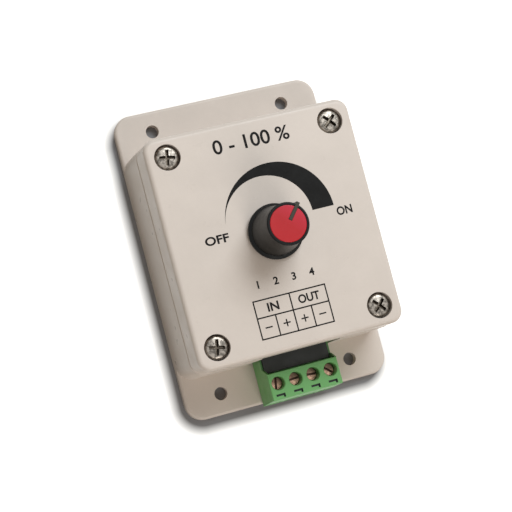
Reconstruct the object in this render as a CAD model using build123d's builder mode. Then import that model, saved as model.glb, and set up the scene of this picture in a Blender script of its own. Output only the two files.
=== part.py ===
from build123d import *
from math import cos, radians, sin, sqrt, tan
import os

# Low-voltage dimmer in a flanged plastic box: a turn knob on the lid drives a panel
# potentiometer, and a four-pole screw terminal plugs on a pin header at one end wall.
# Millimetres. Origin at the middle of the back face, +Z out of the lid, +Y up the label.

os.makedirs("parts", exist_ok=True)

# Mounting plate
PLATE_LENGTH = 88.0
PLATE_WIDTH = 60.0
PLATE_THICKNESS = 2.6
PLATE_CORNER_R = 5.0
PLATE_EDGE_R = 0.9
MOUNT_SPACING_X = 38.8
MOUNT_SPACING_Y = 76.2
MOUNT_HOLE_R = 1.85

# Box, measured at the top of the lid; every wall leans in by the mould's draft
LID_WIDTH = 57.8
LID_LENGTH = 62.6
LID_TOP_Z = 31.0
LID_CORNER_R = 3.4
LID_EDGE_R = 1.3
LID_TOP_THICKNESS = 2.0
PARTING_Z = 20.9
PARTING_STEP = 0.15
PARTING_CHAMFER = 0.25
DRAFT = 1.7
WALL = 1.9
FLOOR = 2.0
LIP_INSET = 1.0
LIP_HEIGHT = 1.2

# Clearances, and how far a cut runs past the face that it opens
FIT_GAP = 0.05
SEAT_GAP = 0.15
RUN_GAP = 0.3
CUT_PAST = 1.0

# Lid screws and the bosses they run in
LID_SCREW_X = 22.95
LID_SCREW_Y = 25.8
LID_SCREW_R = 1.45
LID_SCREW_LENGTH = 15.5
LID_SCREW_HEAD_R = 3.4
LID_SCREW_HEAD_HEIGHT = 2.5
LID_SCREW_SINK = 0.3
LID_SCREW_TURNS = (-10.0, 42.0, -12.0, 44.0)
LID_BOSS_R = 4.6
BASE_BOSS_R = 3.4
BOSS_WEB = 1.4

# Shape of a cross-head screw, as shares of its head's radius and height
HEAD_TOP_R = 0.2
HEAD_SHOULDER_R = 0.68
HEAD_SHOULDER_HEIGHT = 0.93
HEAD_ROUND_R = 0.91
HEAD_ROUND_HEIGHT = 0.76
HEAD_SIDE_HEIGHT = 0.4
RECESS_LENGTH = 1.3
RECESS_WIDTH = 0.3
RECESS_START = 1.1
RECESS_DEPTH = 0.7
RECESS_DRAFT = 10.0

# Knob
KNOB_FOOT_Z = LID_TOP_Z + 0.9
KNOB_FOOT_R = 7.5
KNOB_NECK_R = 6.75
KNOB_WAIST_R = 6.1
KNOB_WAIST_Z = 38.5
KNOB_RIM_R = 5.65
KNOB_TOP_Z = 46.3
KNOB_WALL = 1.0
KNOB_NUT_ROOM_R = 6.15
KNOB_NUT_ROOM_Z = 34.0
KNOB_SKIRT_HEIGHT = 0.7
KNOB_HUB_WALL = 1.3
KNOB_TOP_THICKNESS = 1.9
KNOB_EDGE = 0.3
CAP_R = 4.85
CAP_THICKNESS = 0.9
CAP_EDGE_R = 0.15
POINTER_WIDTH = 0.9
POINTER_START = 1.1
POINTER_TIP = 6.25
POINTER_PROUD = 0.1
POINTER_ROOT = 0.2
POINTER_FACE = 1.2
POINTER_ANGLE = 40.0
FIN_PROUD = 0.3
FIN_ROOT = 0.3

# Potentiometer, hung under the lid
BUSHING_WALL = 0.5
BUSHING_TOP_Z = 35.4
BUSHING_CHAMFER = 0.3
NUT_ACROSS_FLATS = 10.0
NUT_HEIGHT = 2.0
WASHER_R = 5.6
WASHER_THICKNESS = 0.5
POT_PLATE_THICKNESS = 1.2
POT_R = 8.0
POT_DEPTH = 6.4
POT_SHEET = 0.5
POT_EDGE_R = 0.4
POT_TAB_X = -6.5
POT_TAB_THICKNESS = 1.0
POT_TAB_WIDTH = 2.2
POT_TAB_HEIGHT = 1.4
SHAFT_R = 3.0
SHAFT_FLAT = 1.5
SHAFT_TOP_Z = 43.2
SHAFT_CHAMFER = 0.4
COLLAR_WIDTH = 1.2
COLLAR_HEIGHT = 1.3
WIPER_MARGIN = 1.4
WIPER_THICKNESS = 1.0
WIPER_CONTACT_Y = -4.4
WIPER_CONTACT_WIDTH = 2.0
WIPER_CONTACT_LENGTH = 1.6
TRACK_THICKNESS = 1.2
TRACK_TONGUE_WIDTH = 13.0
TRACK_TONGUE_Y = 11.0
LUG_PITCH = 5.0
LUG_WIDTH = 1.8
LUG_THICKNESS = 0.5
LUG_TIP_Y = 13.2
LUG_ROOT = 1.0

# Hook-up wires
WIRE_R = 0.65
WIRE_BEND_R = 3.0
WIRE_UPPER_BEND_Z = 16.0
WIRE_LOWER_BEND_Z = 11.0
WIRE_BOARD_Y = 17.5

# Circuit board
BOARD_WIDTH = 38.0
BOARD_FRONT_Y = -29.6
BOARD_BACK_Y = 24.0
BOARD_BOTTOM_Z = 2.8
BOARD_THICKNESS = 1.6
BOARD_TOP_Z = BOARD_BOTTOM_Z + BOARD_THICKNESS
BOARD_SCREW_X = 16.2
BOARD_SCREW_YS = (-16.5, 21.0)
BOARD_SCREW_R = 1.0
BOARD_SCREW_HEAD_R = 2.0
BOARD_SCREW_HEAD_HEIGHT = 1.4
BOARD_SCREW_END_Z = 1.0
BOARD_SCREW_TURN_STEP = 20.0
BOARD_POST_R = 2.5
BOARD_PILOT_END_Z = 0.7
LEAD_R = 0.3
LEAD_BELOW_BOARD = 0.5

# Terminal plug and header
POLES = 4
PITCH = 5.08
PLUG_X = 1.58
PLUG_WIDTH = POLES * PITCH
PLUG_FRONT_Y = -43.7
PLUG_LEAN = 1.1
PLUG_TOP_Z = 16.5
PLUG_BOTTOM_Z = PLATE_THICKNESS + RUN_GAP
PLUG_TOP_BACK_Y = -36.2
PLUG_LEDGE_Y = -34.9
PLUG_LEDGE_Z = 11.6
PLUG_BEVEL_HEIGHT = 1.0
PLUG_SHOULDER_Y = -31.6
PLUG_CHEEK = 0.5
PLUG_EDGE_R = 0.3
NOSE_END_Y = -22.6
NOSE_INSET = 0.3
NOSE_BOTTOM_Z = 5.6
NOSE_TOP_Z = 11.2
WELL_Y = -39.15
WELL_R = 1.85
WELL_RIM = 0.2
WIRE_ENTRY_WIDTH = 4.1
WIRE_ENTRY_HEIGHT = 3.6
WIRE_ENTRY_Z = 5.5
WIRE_ENTRY_DRAFT = 9.0
MARK_X = -0.1
MARK_Y = -42.4
MARK_LENGTH = 2.5
MARK_HOOK = 1.0
MARK_DEPTH = 0.7
MARK_LINE = 0.5
HEADER_WALL = 0.9
HEADER_FRONT_Y = -31.2
HEADER_BACK_WALL = 1.6
PIN_SIDE = 1.0
PIN_Z = 8.4
PIN_START_Y = -30.2
PIN_DROP_Y = -18.8
PIN_CHAMFER = 0.2

# Terminal screw, clamp and contact of each pole
TERMINAL_HEAD_R = 1.95
TERMINAL_HEAD_HEIGHT = 1.8
TERMINAL_HEAD_EDGE_R = 0.35
TERMINAL_SHANK_R = 1.2
TERMINAL_SLOT_WIDTH = 0.6
TERMINAL_SLOT_DEPTH = 0.8
TERMINAL_TURNS = (80.0, 5.0, -5.0, -40.0)
CLAMP_WIDTH = 3.9
CLAMP_DEPTH = 3.6
CLAMP_BOTTOM_Z = 3.6
CLAMP_HEIGHT = 6.0
CLAMP_NUT_HEIGHT = 1.7
CLAMP_SIDE = 0.65
CLAMP_EDGE_R = 0.4
CLAMP_TRAVEL = 1.8
STRIP_WIDTH = 2.4
STRIP_THICKNESS = 0.8
STRIP_Z = 6.9
BLADE_THICKNESS = 0.35
BLADE_TOP_Z = 9.6
BLADE_START_Y = -31.0
CONTACT_SET_BACK = 0.4

# Parts on the board
TRANSISTOR_X = -11.0
TRANSISTOR_Y = -12.0
TRANSISTOR_WIDTH = 10.2
TRANSISTOR_TAB_THICKNESS = 1.3
TRANSISTOR_TAB_HEIGHT = 15.6
TRANSISTOR_BODY_HEIGHT = 9.2
TRANSISTOR_BODY_THICKNESS = 3.2
TRANSISTOR_HOLE_R = 1.8
TRANSISTOR_HOLE_DROP = 2.8
TRANSISTOR_CHAMFER = 0.8
TRANSISTOR_LIFT = 3.5
TRANSISTOR_LEG_PITCH = 2.54
TRANSISTOR_LEG_SIDE = 0.7
CAPACITOR_X = 11.0
CAPACITOR_Y = -9.5
CAPACITOR_R = 5.0
CAPACITOR_HEIGHT = 16.0
CAPACITOR_EDGE = 0.5
CAPACITOR_GROOVE_Z = 2.2
CAPACITOR_GROOVE_HALF = 0.6
CAPACITOR_GROOVE_DEPTH = 0.4
CAPACITOR_LEAD_PITCH = 5.0
CHIP_X = 0.0
CHIP_Y = 4.0
CHIP_LENGTH = 9.6
CHIP_WIDTH = 6.4
CHIP_HEIGHT = 3.3
CHIP_LIFT = 0.5
CHIP_PIN_PITCH = 2.54
CHIP_ROW_SPACING = 7.62
MOULD_DRAFT = 4.0
AXIAL_SPAN = 10.16
AXIAL_EDGE_R = 0.3
LEAD_BEND_R = 0.8
DIODE_SITES = ((-10.5, 1.0), (-10.5, 6.5))
DIODE_R = 1.35
DIODE_LENGTH = 5.2
RESISTOR_SITES = ((11.0, 1.5), (11.0, 6.0), (11.0, 10.5))
RESISTOR_R = 1.15
RESISTOR_LENGTH = 6.3
DISC_X = -10.5
DISC_Y = 12.0
DISC_R = 2.6
DISC_WIDTH = 7.0
DISC_THICKNESS = 2.0
DISC_EDGE_R = 0.7
DISC_LIFT = 2.0
DISC_LEAD_SPARE = 0.8
DISC_LEAD_PITCH = 5.08


def outline(height, inset):
    """Width, length and corner radius of the drafted box at a height, less an inset."""
    lean = (LID_TOP_Z - height) * tan(radians(DRAFT))
    change = lean - inset
    return LID_WIDTH + 2 * change, LID_LENGTH + 2 * change, LID_CORNER_R + change


def upright(x, y):
    """Plane through a vertical axis, local X along +X and local Y along +Z."""
    return Plane(origin=(x, y, 0), x_dir=(1, 0, 0), z_dir=(0, -1, 0))


def vertical(x, y):
    """Vertical axis at a place."""
    return Axis((x, y, 0), (0, 0, 1))


POLE_XS = [PLUG_X + (pole - (POLES - 1) / 2) * PITCH for pole in range(POLES)]
LID_SCREW_SITES = [(x, y) for y in (LID_SCREW_Y, -LID_SCREW_Y) for x in (-LID_SCREW_X, LID_SCREW_X)]
BOARD_SCREW_SITES = [(x, y) for y in BOARD_SCREW_YS for x in (-BOARD_SCREW_X, BOARD_SCREW_X)]
HEAD_SEAT_Z = LID_TOP_Z - LID_SCREW_SINK - LID_SCREW_HEAD_HEIGHT
COUNTERBORE_R = LID_SCREW_HEAD_R + SEAT_GAP
BUSHING_R = SHAFT_R + BUSHING_WALL
POT_TOP_Z = LID_TOP_Z - LID_TOP_THICKNESS
POT_PLATE_Z = POT_TOP_Z - POT_PLATE_THICKNESS
POT_BOTTOM_Z = POT_PLATE_Z - POT_DEPTH
TRACK_Z = POT_BOTTOM_Z + POT_SHEET + FIT_GAP
TRACK_TOP_Z = TRACK_Z + TRACK_THICKNESS
COLLAR_TOP_Z = POT_PLATE_Z - RUN_GAP
COLLAR_Z = COLLAR_TOP_Z - COLLAR_HEIGHT
CAP_SEAT_Z = KNOB_TOP_Z - CAP_THICKNESS
FIN_FOOT_Z = KNOB_FOOT_Z + 3 * KNOB_SKIRT_HEIGHT
NOSE_WIDTH = PLUG_WIDTH - 2 * NOSE_INSET
HEADER_WIDTH = NOSE_WIDTH + 2 * (SEAT_GAP + HEADER_WALL)
HEADER_TOP_Z = NOSE_TOP_Z + SEAT_GAP + HEADER_WALL
HEADER_CAVITY_END_Y = NOSE_END_Y + 2 * RUN_GAP
HEADER_BACK_Y = HEADER_CAVITY_END_Y + HEADER_BACK_WALL
SLOT_WIDTH = HEADER_WIDTH + 2 * RUN_GAP
PLUG_FOOT_Y = PLUG_FRONT_Y - PLUG_LEAN
TONGUE_WIDTH = PLUG_WIDTH - 2 * (PLUG_CHEEK + SEAT_GAP)
TONGUE_FRONT_Y = PLUG_TOP_BACK_Y + RUN_GAP
CLAMP_ROOM = CLAMP_WIDTH + 2 * FIT_GAP
TERMINAL_HEAD_Z = CLAMP_BOTTOM_Z + CLAMP_HEIGHT + CLAMP_TRAVEL + 2 * FIT_GAP
CONTACT_END_Y = NOSE_END_Y - CONTACT_SET_BACK
LEAD_END_Z = BOARD_BOTTOM_Z - LEAD_BELOW_BOARD
AXIAL_LEAD_XS = (-AXIAL_SPAN / 2, AXIAL_SPAN / 2)


# Base case: mounting plate, drafted walls with a lip, bosses, board posts and the terminal slot
with BuildPart() as base_case:
    with BuildSketch():
        RectangleRounded(PLATE_WIDTH, PLATE_LENGTH, PLATE_CORNER_R)
    extrude(amount=PLATE_THICKNESS)
    fillet(base_case.faces().sort_by(Axis.Z)[-1].edges(), PLATE_EDGE_R)
    with BuildSketch():
        RectangleRounded(*outline(0, -PARTING_STEP))
    extrude(amount=PARTING_Z, taper=DRAFT)
    chamfer(base_case.faces().sort_by(Axis.Z)[-1].edges(), PARTING_CHAMFER)
    with BuildSketch(Plane.XY.offset(PARTING_Z)):
        RectangleRounded(*outline(PARTING_Z, LIP_INSET))
    extrude(amount=LIP_HEIGHT, taper=DRAFT)
    with BuildSketch(Plane.XY.offset(FLOOR)):
        RectangleRounded(*outline(FLOOR, WALL))
    extrude(amount=PARTING_Z + LIP_HEIGHT - FLOOR, taper=DRAFT, mode=Mode.SUBTRACT)
    with BuildSketch(Plane.XY.offset(FLOOR)):
        with Locations(*LID_SCREW_SITES):
            Circle(BASE_BOSS_R)
        for x, y in LID_SCREW_SITES:
            side = 1 if x > 0 else -1
            end = 1 if y > 0 else -1
            reach_x = outline(FLOOR, WALL / 2)[0] / 2 - LID_SCREW_X
            reach_y = outline(FLOOR, WALL / 2)[1] / 2 - LID_SCREW_Y
            with Locations((x + side * reach_x / 2, y)):
                Rectangle(reach_x, BOSS_WEB)
            with Locations((x, y + end * reach_y / 2)):
                Rectangle(BOSS_WEB, reach_y)
    extrude(amount=PARTING_Z - FLOOR)
    with BuildSketch(Plane.XY.offset(FLOOR)):
        with Locations(*BOARD_SCREW_SITES):
            Circle(BOARD_POST_R)
    extrude(amount=BOARD_BOTTOM_Z - FLOOR)
    with Locations(*[(x, y, PARTING_Z) for x, y in LID_SCREW_SITES]):
        Hole(LID_SCREW_R + FIT_GAP, PARTING_Z - HEAD_SEAT_Z + LID_SCREW_LENGTH + CUT_PAST)
    with Locations(*[(x, y, BOARD_BOTTOM_Z) for x, y in BOARD_SCREW_SITES]):
        Hole(BOARD_SCREW_R + FIT_GAP, BOARD_BOTTOM_Z - BOARD_PILOT_END_Z)
    with GridLocations(MOUNT_SPACING_X, MOUNT_SPACING_Y, 2, 2):
        Hole(MOUNT_HOLE_R)
    with BuildSketch(Plane.XY.offset(PLATE_THICKNESS)):
        with Locations((PLUG_X, -LID_LENGTH / 2)):
            Rectangle(SLOT_WIDTH, 2 * (WALL + LIP_INSET))
    extrude(amount=PARTING_Z + LIP_HEIGHT - PLATE_THICKNESS, mode=Mode.SUBTRACT)
base_case.part.label = "base_case"
export_step(base_case.part, "parts/base_case.step")


# Lid: drafted shell with screw bosses, a recess for the base's lip and the potentiometer's hole
with BuildPart() as lid:
    with BuildSketch(Plane.XY.offset(PARTING_Z)):
        RectangleRounded(*outline(PARTING_Z, 0))
    extrude(amount=LID_TOP_Z - PARTING_Z, taper=DRAFT)
    fillet(lid.faces().sort_by(Axis.Z)[-1].edges(), LID_EDGE_R)
    with BuildSketch(Plane.XY.offset(PARTING_Z)):
        RectangleRounded(*outline(PARTING_Z, WALL))
    extrude(amount=LID_TOP_Z - LID_TOP_THICKNESS - PARTING_Z, taper=DRAFT, mode=Mode.SUBTRACT)
    with BuildSketch(Plane.XY.offset(PARTING_Z)):
        with Locations(*LID_SCREW_SITES):
            Circle(LID_BOSS_R)
    extrude(amount=LID_TOP_Z - LID_TOP_THICKNESS - PARTING_Z)
    with BuildSketch(Plane.XY.offset(PARTING_Z)):
        RectangleRounded(*outline(PARTING_Z, LIP_INSET - SEAT_GAP))
        RectangleRounded(*outline(PARTING_Z, WALL + SEAT_GAP), mode=Mode.SUBTRACT)
    extrude(amount=LIP_HEIGHT + SEAT_GAP, taper=DRAFT, mode=Mode.SUBTRACT)
    with Locations(*[(x, y, LID_TOP_Z) for x, y in LID_SCREW_SITES]):
        CounterBoreHole(LID_SCREW_R + SEAT_GAP, COUNTERBORE_R, LID_TOP_Z - HEAD_SEAT_Z)
    with Locations((0, 0, LID_TOP_Z)):
        Hole(BUSHING_R + SEAT_GAP)
    # Pocket for the potentiometer's locating tab
    with BuildSketch(Plane.XY.offset(POT_TOP_Z)):
        with Locations((POT_TAB_X, 0)):
            Rectangle(POT_TAB_THICKNESS + 2 * SEAT_GAP, POT_TAB_WIDTH + 2 * SEAT_GAP)
    extrude(amount=POT_TAB_HEIGHT + SEAT_GAP, mode=Mode.SUBTRACT)
lid.part.label = "lid"
export_step(lid.part, "parts/lid.step")


def cross_head_screw(x, y, seat_z, shank_r, shank_length, head_r, head_height, turn):
    """Pan-head screw standing on its seat, with a tapered cross recess turned by an angle."""
    head_top = (HEAD_TOP_R * head_r, seat_z + head_height)
    head_shoulder = (HEAD_SHOULDER_R * head_r, seat_z + HEAD_SHOULDER_HEIGHT * head_height)
    head_side = (head_r, seat_z + HEAD_SIDE_HEIGHT * head_height)
    with BuildPart() as screw:
        with BuildSketch(upright(x, y)):
            with BuildLine():
                Polyline(
                    head_shoulder,
                    head_top,
                    (0, seat_z + head_height),
                    (0, seat_z - shank_length),
                    (shank_r / 2, seat_z - shank_length),
                    (shank_r, seat_z - shank_length + shank_r),
                    (shank_r, seat_z),
                    (head_r, seat_z),
                    head_side,
                )
                ThreePointArc(
                    head_side,
                    (HEAD_ROUND_R * head_r, seat_z + HEAD_ROUND_HEIGHT * head_height),
                    head_shoulder,
                )
            make_face()
        revolve(axis=vertical(x, y))
        with BuildSketch(Plane.XY.offset(seat_z + RECESS_START * head_height)):
            with Locations(Location((x, y, 0), (0, 0, turn))):
                Rectangle(RECESS_LENGTH * head_r, RECESS_WIDTH * head_r)
                Rectangle(RECESS_WIDTH * head_r, RECESS_LENGTH * head_r)
        extrude(amount=-RECESS_DEPTH * head_height, taper=RECESS_DRAFT, mode=Mode.SUBTRACT)
    return screw


# Lid screws, each turned as it was left
for number, (x, y) in enumerate(LID_SCREW_SITES):
    lid_screw = cross_head_screw(
        x,
        y,
        HEAD_SEAT_Z,
        LID_SCREW_R,
        LID_SCREW_LENGTH,
        LID_SCREW_HEAD_R,
        LID_SCREW_HEAD_HEIGHT,
        LID_SCREW_TURNS[number],
    )
    lid_screw.part.label = f"lid_screw_{number + 1}"
    export_step(lid_screw.part, f"parts/lid_screw_{number + 1}.step")


# Knob body: tapered shell with a flared foot, a hub with a flat and the pointer bar
pointer_plane = Plane(
    origin=(0, 0, 0),
    x_dir=(sin(radians(POINTER_ANGLE)), cos(radians(POINTER_ANGLE)), 0),
    z_dir=(cos(radians(POINTER_ANGLE)), -sin(radians(POINTER_ANGLE)), 0),
)
shaft_plane = Plane(origin=(0, 0, BUSHING_TOP_Z + RUN_GAP), x_dir=pointer_plane.x_dir, z_dir=(0, 0, 1))
with BuildPart() as knob_body:
    with BuildSketch(upright(0, 0)):
        with BuildLine():
            Polyline(
                (0, CAP_SEAT_Z),
                (CAP_R + FIT_GAP, CAP_SEAT_Z),
                (CAP_R + FIT_GAP, KNOB_TOP_Z),
                (KNOB_RIM_R - KNOB_EDGE, KNOB_TOP_Z),
                (KNOB_RIM_R, KNOB_TOP_Z - KNOB_EDGE),
            )
            ThreePointArc(
                (KNOB_RIM_R, KNOB_TOP_Z - KNOB_EDGE),
                (KNOB_WAIST_R, KNOB_WAIST_Z),
                (KNOB_NECK_R, KNOB_FOOT_Z + 2 * KNOB_SKIRT_HEIGHT),
            )
            Polyline(
                (KNOB_NECK_R, KNOB_FOOT_Z + 2 * KNOB_SKIRT_HEIGHT),
                (KNOB_FOOT_R, KNOB_FOOT_Z + KNOB_SKIRT_HEIGHT),
                (KNOB_FOOT_R, KNOB_FOOT_Z),
                (KNOB_NUT_ROOM_R, KNOB_FOOT_Z),
                (KNOB_NUT_ROOM_R, KNOB_NUT_ROOM_Z),
                (KNOB_WAIST_R - KNOB_WALL, KNOB_WAIST_Z),
                (KNOB_RIM_R - KNOB_WALL, CAP_SEAT_Z - KNOB_TOP_THICKNESS),
                (0, CAP_SEAT_Z - KNOB_TOP_THICKNESS),
                (0, CAP_SEAT_Z),
            )
        make_face()
    revolve(axis=Axis.Z)
    with BuildSketch(shaft_plane):
        Circle(SHAFT_R + KNOB_HUB_WALL)
    extrude(amount=CAP_SEAT_Z - KNOB_TOP_THICKNESS - BUSHING_TOP_Z)
    with BuildSketch(shaft_plane):
        Circle(SHAFT_R + FIT_GAP)
        with Locations((SHAFT_FLAT + FIT_GAP + SHAFT_R, 0)):
            Rectangle(2 * SHAFT_R, 3 * SHAFT_R, mode=Mode.SUBTRACT)
    extrude(amount=SHAFT_TOP_Z + RUN_GAP - BUSHING_TOP_Z, mode=Mode.SUBTRACT)
    with BuildSketch(pointer_plane):
        with BuildLine():
            Polyline(
                (POINTER_START, CAP_SEAT_Z - POINTER_ROOT),
                (POINTER_START, KNOB_TOP_Z + POINTER_PROUD),
                (POINTER_TIP, KNOB_TOP_Z + POINTER_PROUD),
                (POINTER_TIP + POINTER_PROUD, KNOB_TOP_Z - POINTER_FACE),
                (KNOB_NECK_R + FIN_PROUD, FIN_FOOT_Z),
                (KNOB_NECK_R - FIN_ROOT, FIN_FOOT_Z),
                (KNOB_WAIST_R - FIN_ROOT, KNOB_WAIST_Z),
                (KNOB_RIM_R - FIN_ROOT, CAP_SEAT_Z - POINTER_ROOT),
                close=True,
            )
        make_face()
    extrude(amount=POINTER_WIDTH / 2, both=True)
knob_body.part.label = "knob_body"
export_step(knob_body.part, "parts/knob_body.step")


# Knob cap: disc with a slot for the pointer bar
with BuildPart() as knob_cap:
    with BuildSketch(Plane.XY.offset(CAP_SEAT_Z)):
        Circle(CAP_R)
    extrude(amount=CAP_THICKNESS)
    fillet(knob_cap.faces().sort_by(Axis.Z)[-1].edges(), CAP_EDGE_R)
    with BuildSketch(pointer_plane):
        with Locations(((POINTER_START + CAP_R + CUT_PAST) / 2 - FIT_GAP, KNOB_TOP_Z)):
            Rectangle(CAP_R + CUT_PAST - POINTER_START, 4 * CAP_THICKNESS)
    extrude(amount=POINTER_WIDTH / 2 + FIT_GAP, both=True, mode=Mode.SUBTRACT)
knob_cap.part.label = "knob_cap"
export_step(knob_cap.part, "parts/knob_cap.step")


# Potentiometer frame: round plate with a locating tab and the bushing
with BuildPart() as pot_frame:
    with BuildSketch(Plane.XY.offset(POT_PLATE_Z)):
        Circle(POT_R)
    extrude(amount=POT_PLATE_THICKNESS)
    with BuildSketch(Plane.XY.offset(POT_TOP_Z)):
        Circle(BUSHING_R)
    extrude(amount=BUSHING_TOP_Z - POT_TOP_Z)
    chamfer(pot_frame.faces().sort_by(Axis.Z)[-1].edges(), BUSHING_CHAMFER)
    with BuildSketch(Plane.XY.offset(POT_TOP_Z)):
        with Locations((POT_TAB_X, 0)):
            Rectangle(POT_TAB_THICKNESS, POT_TAB_WIDTH)
    extrude(amount=POT_TAB_HEIGHT)
    with Locations((0, 0, BUSHING_TOP_Z)):
        Hole(SHAFT_R + FIT_GAP)
pot_frame.part.label = "pot_frame"
export_step(pot_frame.part, "parts/pot_frame.step")


# Potentiometer washer and nut, clamped on the lid under the knob
with BuildPart() as pot_washer:
    with BuildSketch(Plane.XY.offset(LID_TOP_Z)):
        Circle(WASHER_R)
        Circle(BUSHING_R + FIT_GAP, mode=Mode.SUBTRACT)
    extrude(amount=WASHER_THICKNESS)
pot_washer.part.label = "pot_washer"
export_step(pot_washer.part, "parts/pot_washer.step")

with BuildPart() as pot_nut:
    with BuildSketch(Plane.XY.offset(LID_TOP_Z + WASHER_THICKNESS)):
        RegularPolygon(NUT_ACROSS_FLATS / 2, 6, major_radius=False)
        Circle(BUSHING_R + FIT_GAP, mode=Mode.SUBTRACT)
    extrude(amount=NUT_HEIGHT)
pot_nut.part.label = "pot_nut"
export_step(pot_nut.part, "parts/pot_nut.step")


# Potentiometer shaft: flatted spindle, collar under the plate and a spigot for the wiper
with BuildPart() as pot_shaft:
    with BuildSketch(Plane.XY.offset(COLLAR_Z)):
        Circle(SHAFT_R + COLLAR_WIDTH)
    extrude(amount=COLLAR_HEIGHT)
    with BuildSketch(Plane.XY.offset(COLLAR_Z)):
        Circle(SHAFT_R)
    extrude(amount=SHAFT_TOP_Z - COLLAR_Z)
    chamfer(pot_shaft.faces().sort_by(Axis.Z)[-1].edges(), SHAFT_CHAMFER)
    with BuildSketch(shaft_plane):
        with Locations((SHAFT_FLAT + SHAFT_R, 0)):
            Rectangle(2 * SHAFT_R, 3 * SHAFT_R)
    extrude(amount=SHAFT_TOP_Z - BUSHING_TOP_Z, mode=Mode.SUBTRACT)
    with BuildSketch(Plane.XY.offset(COLLAR_Z)):
        Circle(SHAFT_R / 2)
    extrude(amount=-(COLLAR_Z - TRACK_TOP_Z - RUN_GAP))
pot_shaft.part.label = "pot_shaft"
export_step(pot_shaft.part, "parts/pot_shaft.step")


# Wiper: disc on the spigot with a contact arm
with BuildPart() as pot_wiper:
    with BuildSketch(Plane.XY.offset(COLLAR_Z)):
        Circle(POT_R - POT_SHEET - WIPER_MARGIN)
        Circle(SHAFT_R / 2 + FIT_GAP, mode=Mode.SUBTRACT)
    extrude(amount=-WIPER_THICKNESS)
    with BuildSketch(Plane.XY.offset(COLLAR_Z - WIPER_THICKNESS)):
        with Locations((0, WIPER_CONTACT_Y)):
            Rectangle(WIPER_CONTACT_WIDTH, WIPER_CONTACT_LENGTH)
    extrude(amount=-(COLLAR_Z - WIPER_THICKNESS - TRACK_TOP_Z - SEAT_GAP))
pot_wiper.part.label = "pot_wiper"
export_step(pot_wiper.part, "parts/pot_wiper.step")


# Track board with a tongue that carries the lugs
with BuildPart() as pot_track:
    with BuildSketch(Plane.XY.offset(TRACK_Z)):
        Circle(POT_R - POT_SHEET - FIT_GAP)
        with Locations((0, TRACK_TONGUE_Y / 2)):
            Rectangle(TRACK_TONGUE_WIDTH, TRACK_TONGUE_Y)
    extrude(amount=TRACK_THICKNESS)
pot_track.part.label = "pot_track"
export_step(pot_track.part, "parts/pot_track.step")


# Potentiometer case: pressed can with a mouth for the tongue
with BuildPart() as pot_case:
    with BuildSketch(Plane.XY.offset(POT_BOTTOM_Z)):
        Circle(POT_R)
    extrude(amount=POT_DEPTH)
    fillet(pot_case.faces().sort_by(Axis.Z)[0].edges(), POT_EDGE_R)
    with BuildSketch(Plane.XY.offset(POT_BOTTOM_Z + POT_SHEET)):
        Circle(POT_R - POT_SHEET)
    extrude(amount=POT_DEPTH - POT_SHEET, mode=Mode.SUBTRACT)
    with BuildSketch(Plane.XY.offset(POT_BOTTOM_Z + POT_SHEET)):
        with Locations((0, POT_R / 2)):
            Rectangle(TRACK_TONGUE_WIDTH + 2 * FIT_GAP, POT_R)
    extrude(amount=TRACK_THICKNESS + LUG_THICKNESS + 4 * FIT_GAP, mode=Mode.SUBTRACT)
pot_case.part.label = "pot_case"
export_step(pot_case.part, "parts/pot_case.step")


# Lugs: three flat strips on the tongue
LUG_XS = (-LUG_PITCH, 0, LUG_PITCH)
with BuildPart() as pot_lugs:
    with BuildSketch(Plane.XY.offset(TRACK_TOP_Z)):
        with Locations(*[(x, (POT_R - LUG_ROOT + LUG_TIP_Y) / 2) for x in LUG_XS]):
            SlotOverall(LUG_TIP_Y - POT_R + LUG_ROOT, LUG_WIDTH, rotation=90)
    extrude(amount=LUG_THICKNESS)
pot_lugs.part.label = "pot_lugs"
export_step(pot_lugs.part, "parts/pot_lugs.step")


# Hook-up wires: from under each lug down to the board, in two easy bends
WIRE_TOP_Y = (TRACK_TONGUE_Y + LUG_TIP_Y) / 2
for number, x in enumerate(LUG_XS):
    with BuildPart() as pot_wire:
        with BuildLine() as route:
            FilletPolyline(
                (x, WIRE_TOP_Y, TRACK_TOP_Z),
                (x, WIRE_TOP_Y, WIRE_UPPER_BEND_Z),
                (x, WIRE_BOARD_Y, WIRE_LOWER_BEND_Z),
                (x, WIRE_BOARD_Y, BOARD_TOP_Z),
                radius=WIRE_BEND_R,
            )
        with BuildSketch(Plane(origin=route.line @ 0, z_dir=route.line % 0)):
            Circle(WIRE_R)
        sweep(path=route.line)
    pot_wire.part.label = f"pot_wire_{number + 1}"
    export_step(pot_wire.part, f"parts/pot_wire_{number + 1}.step")


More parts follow.
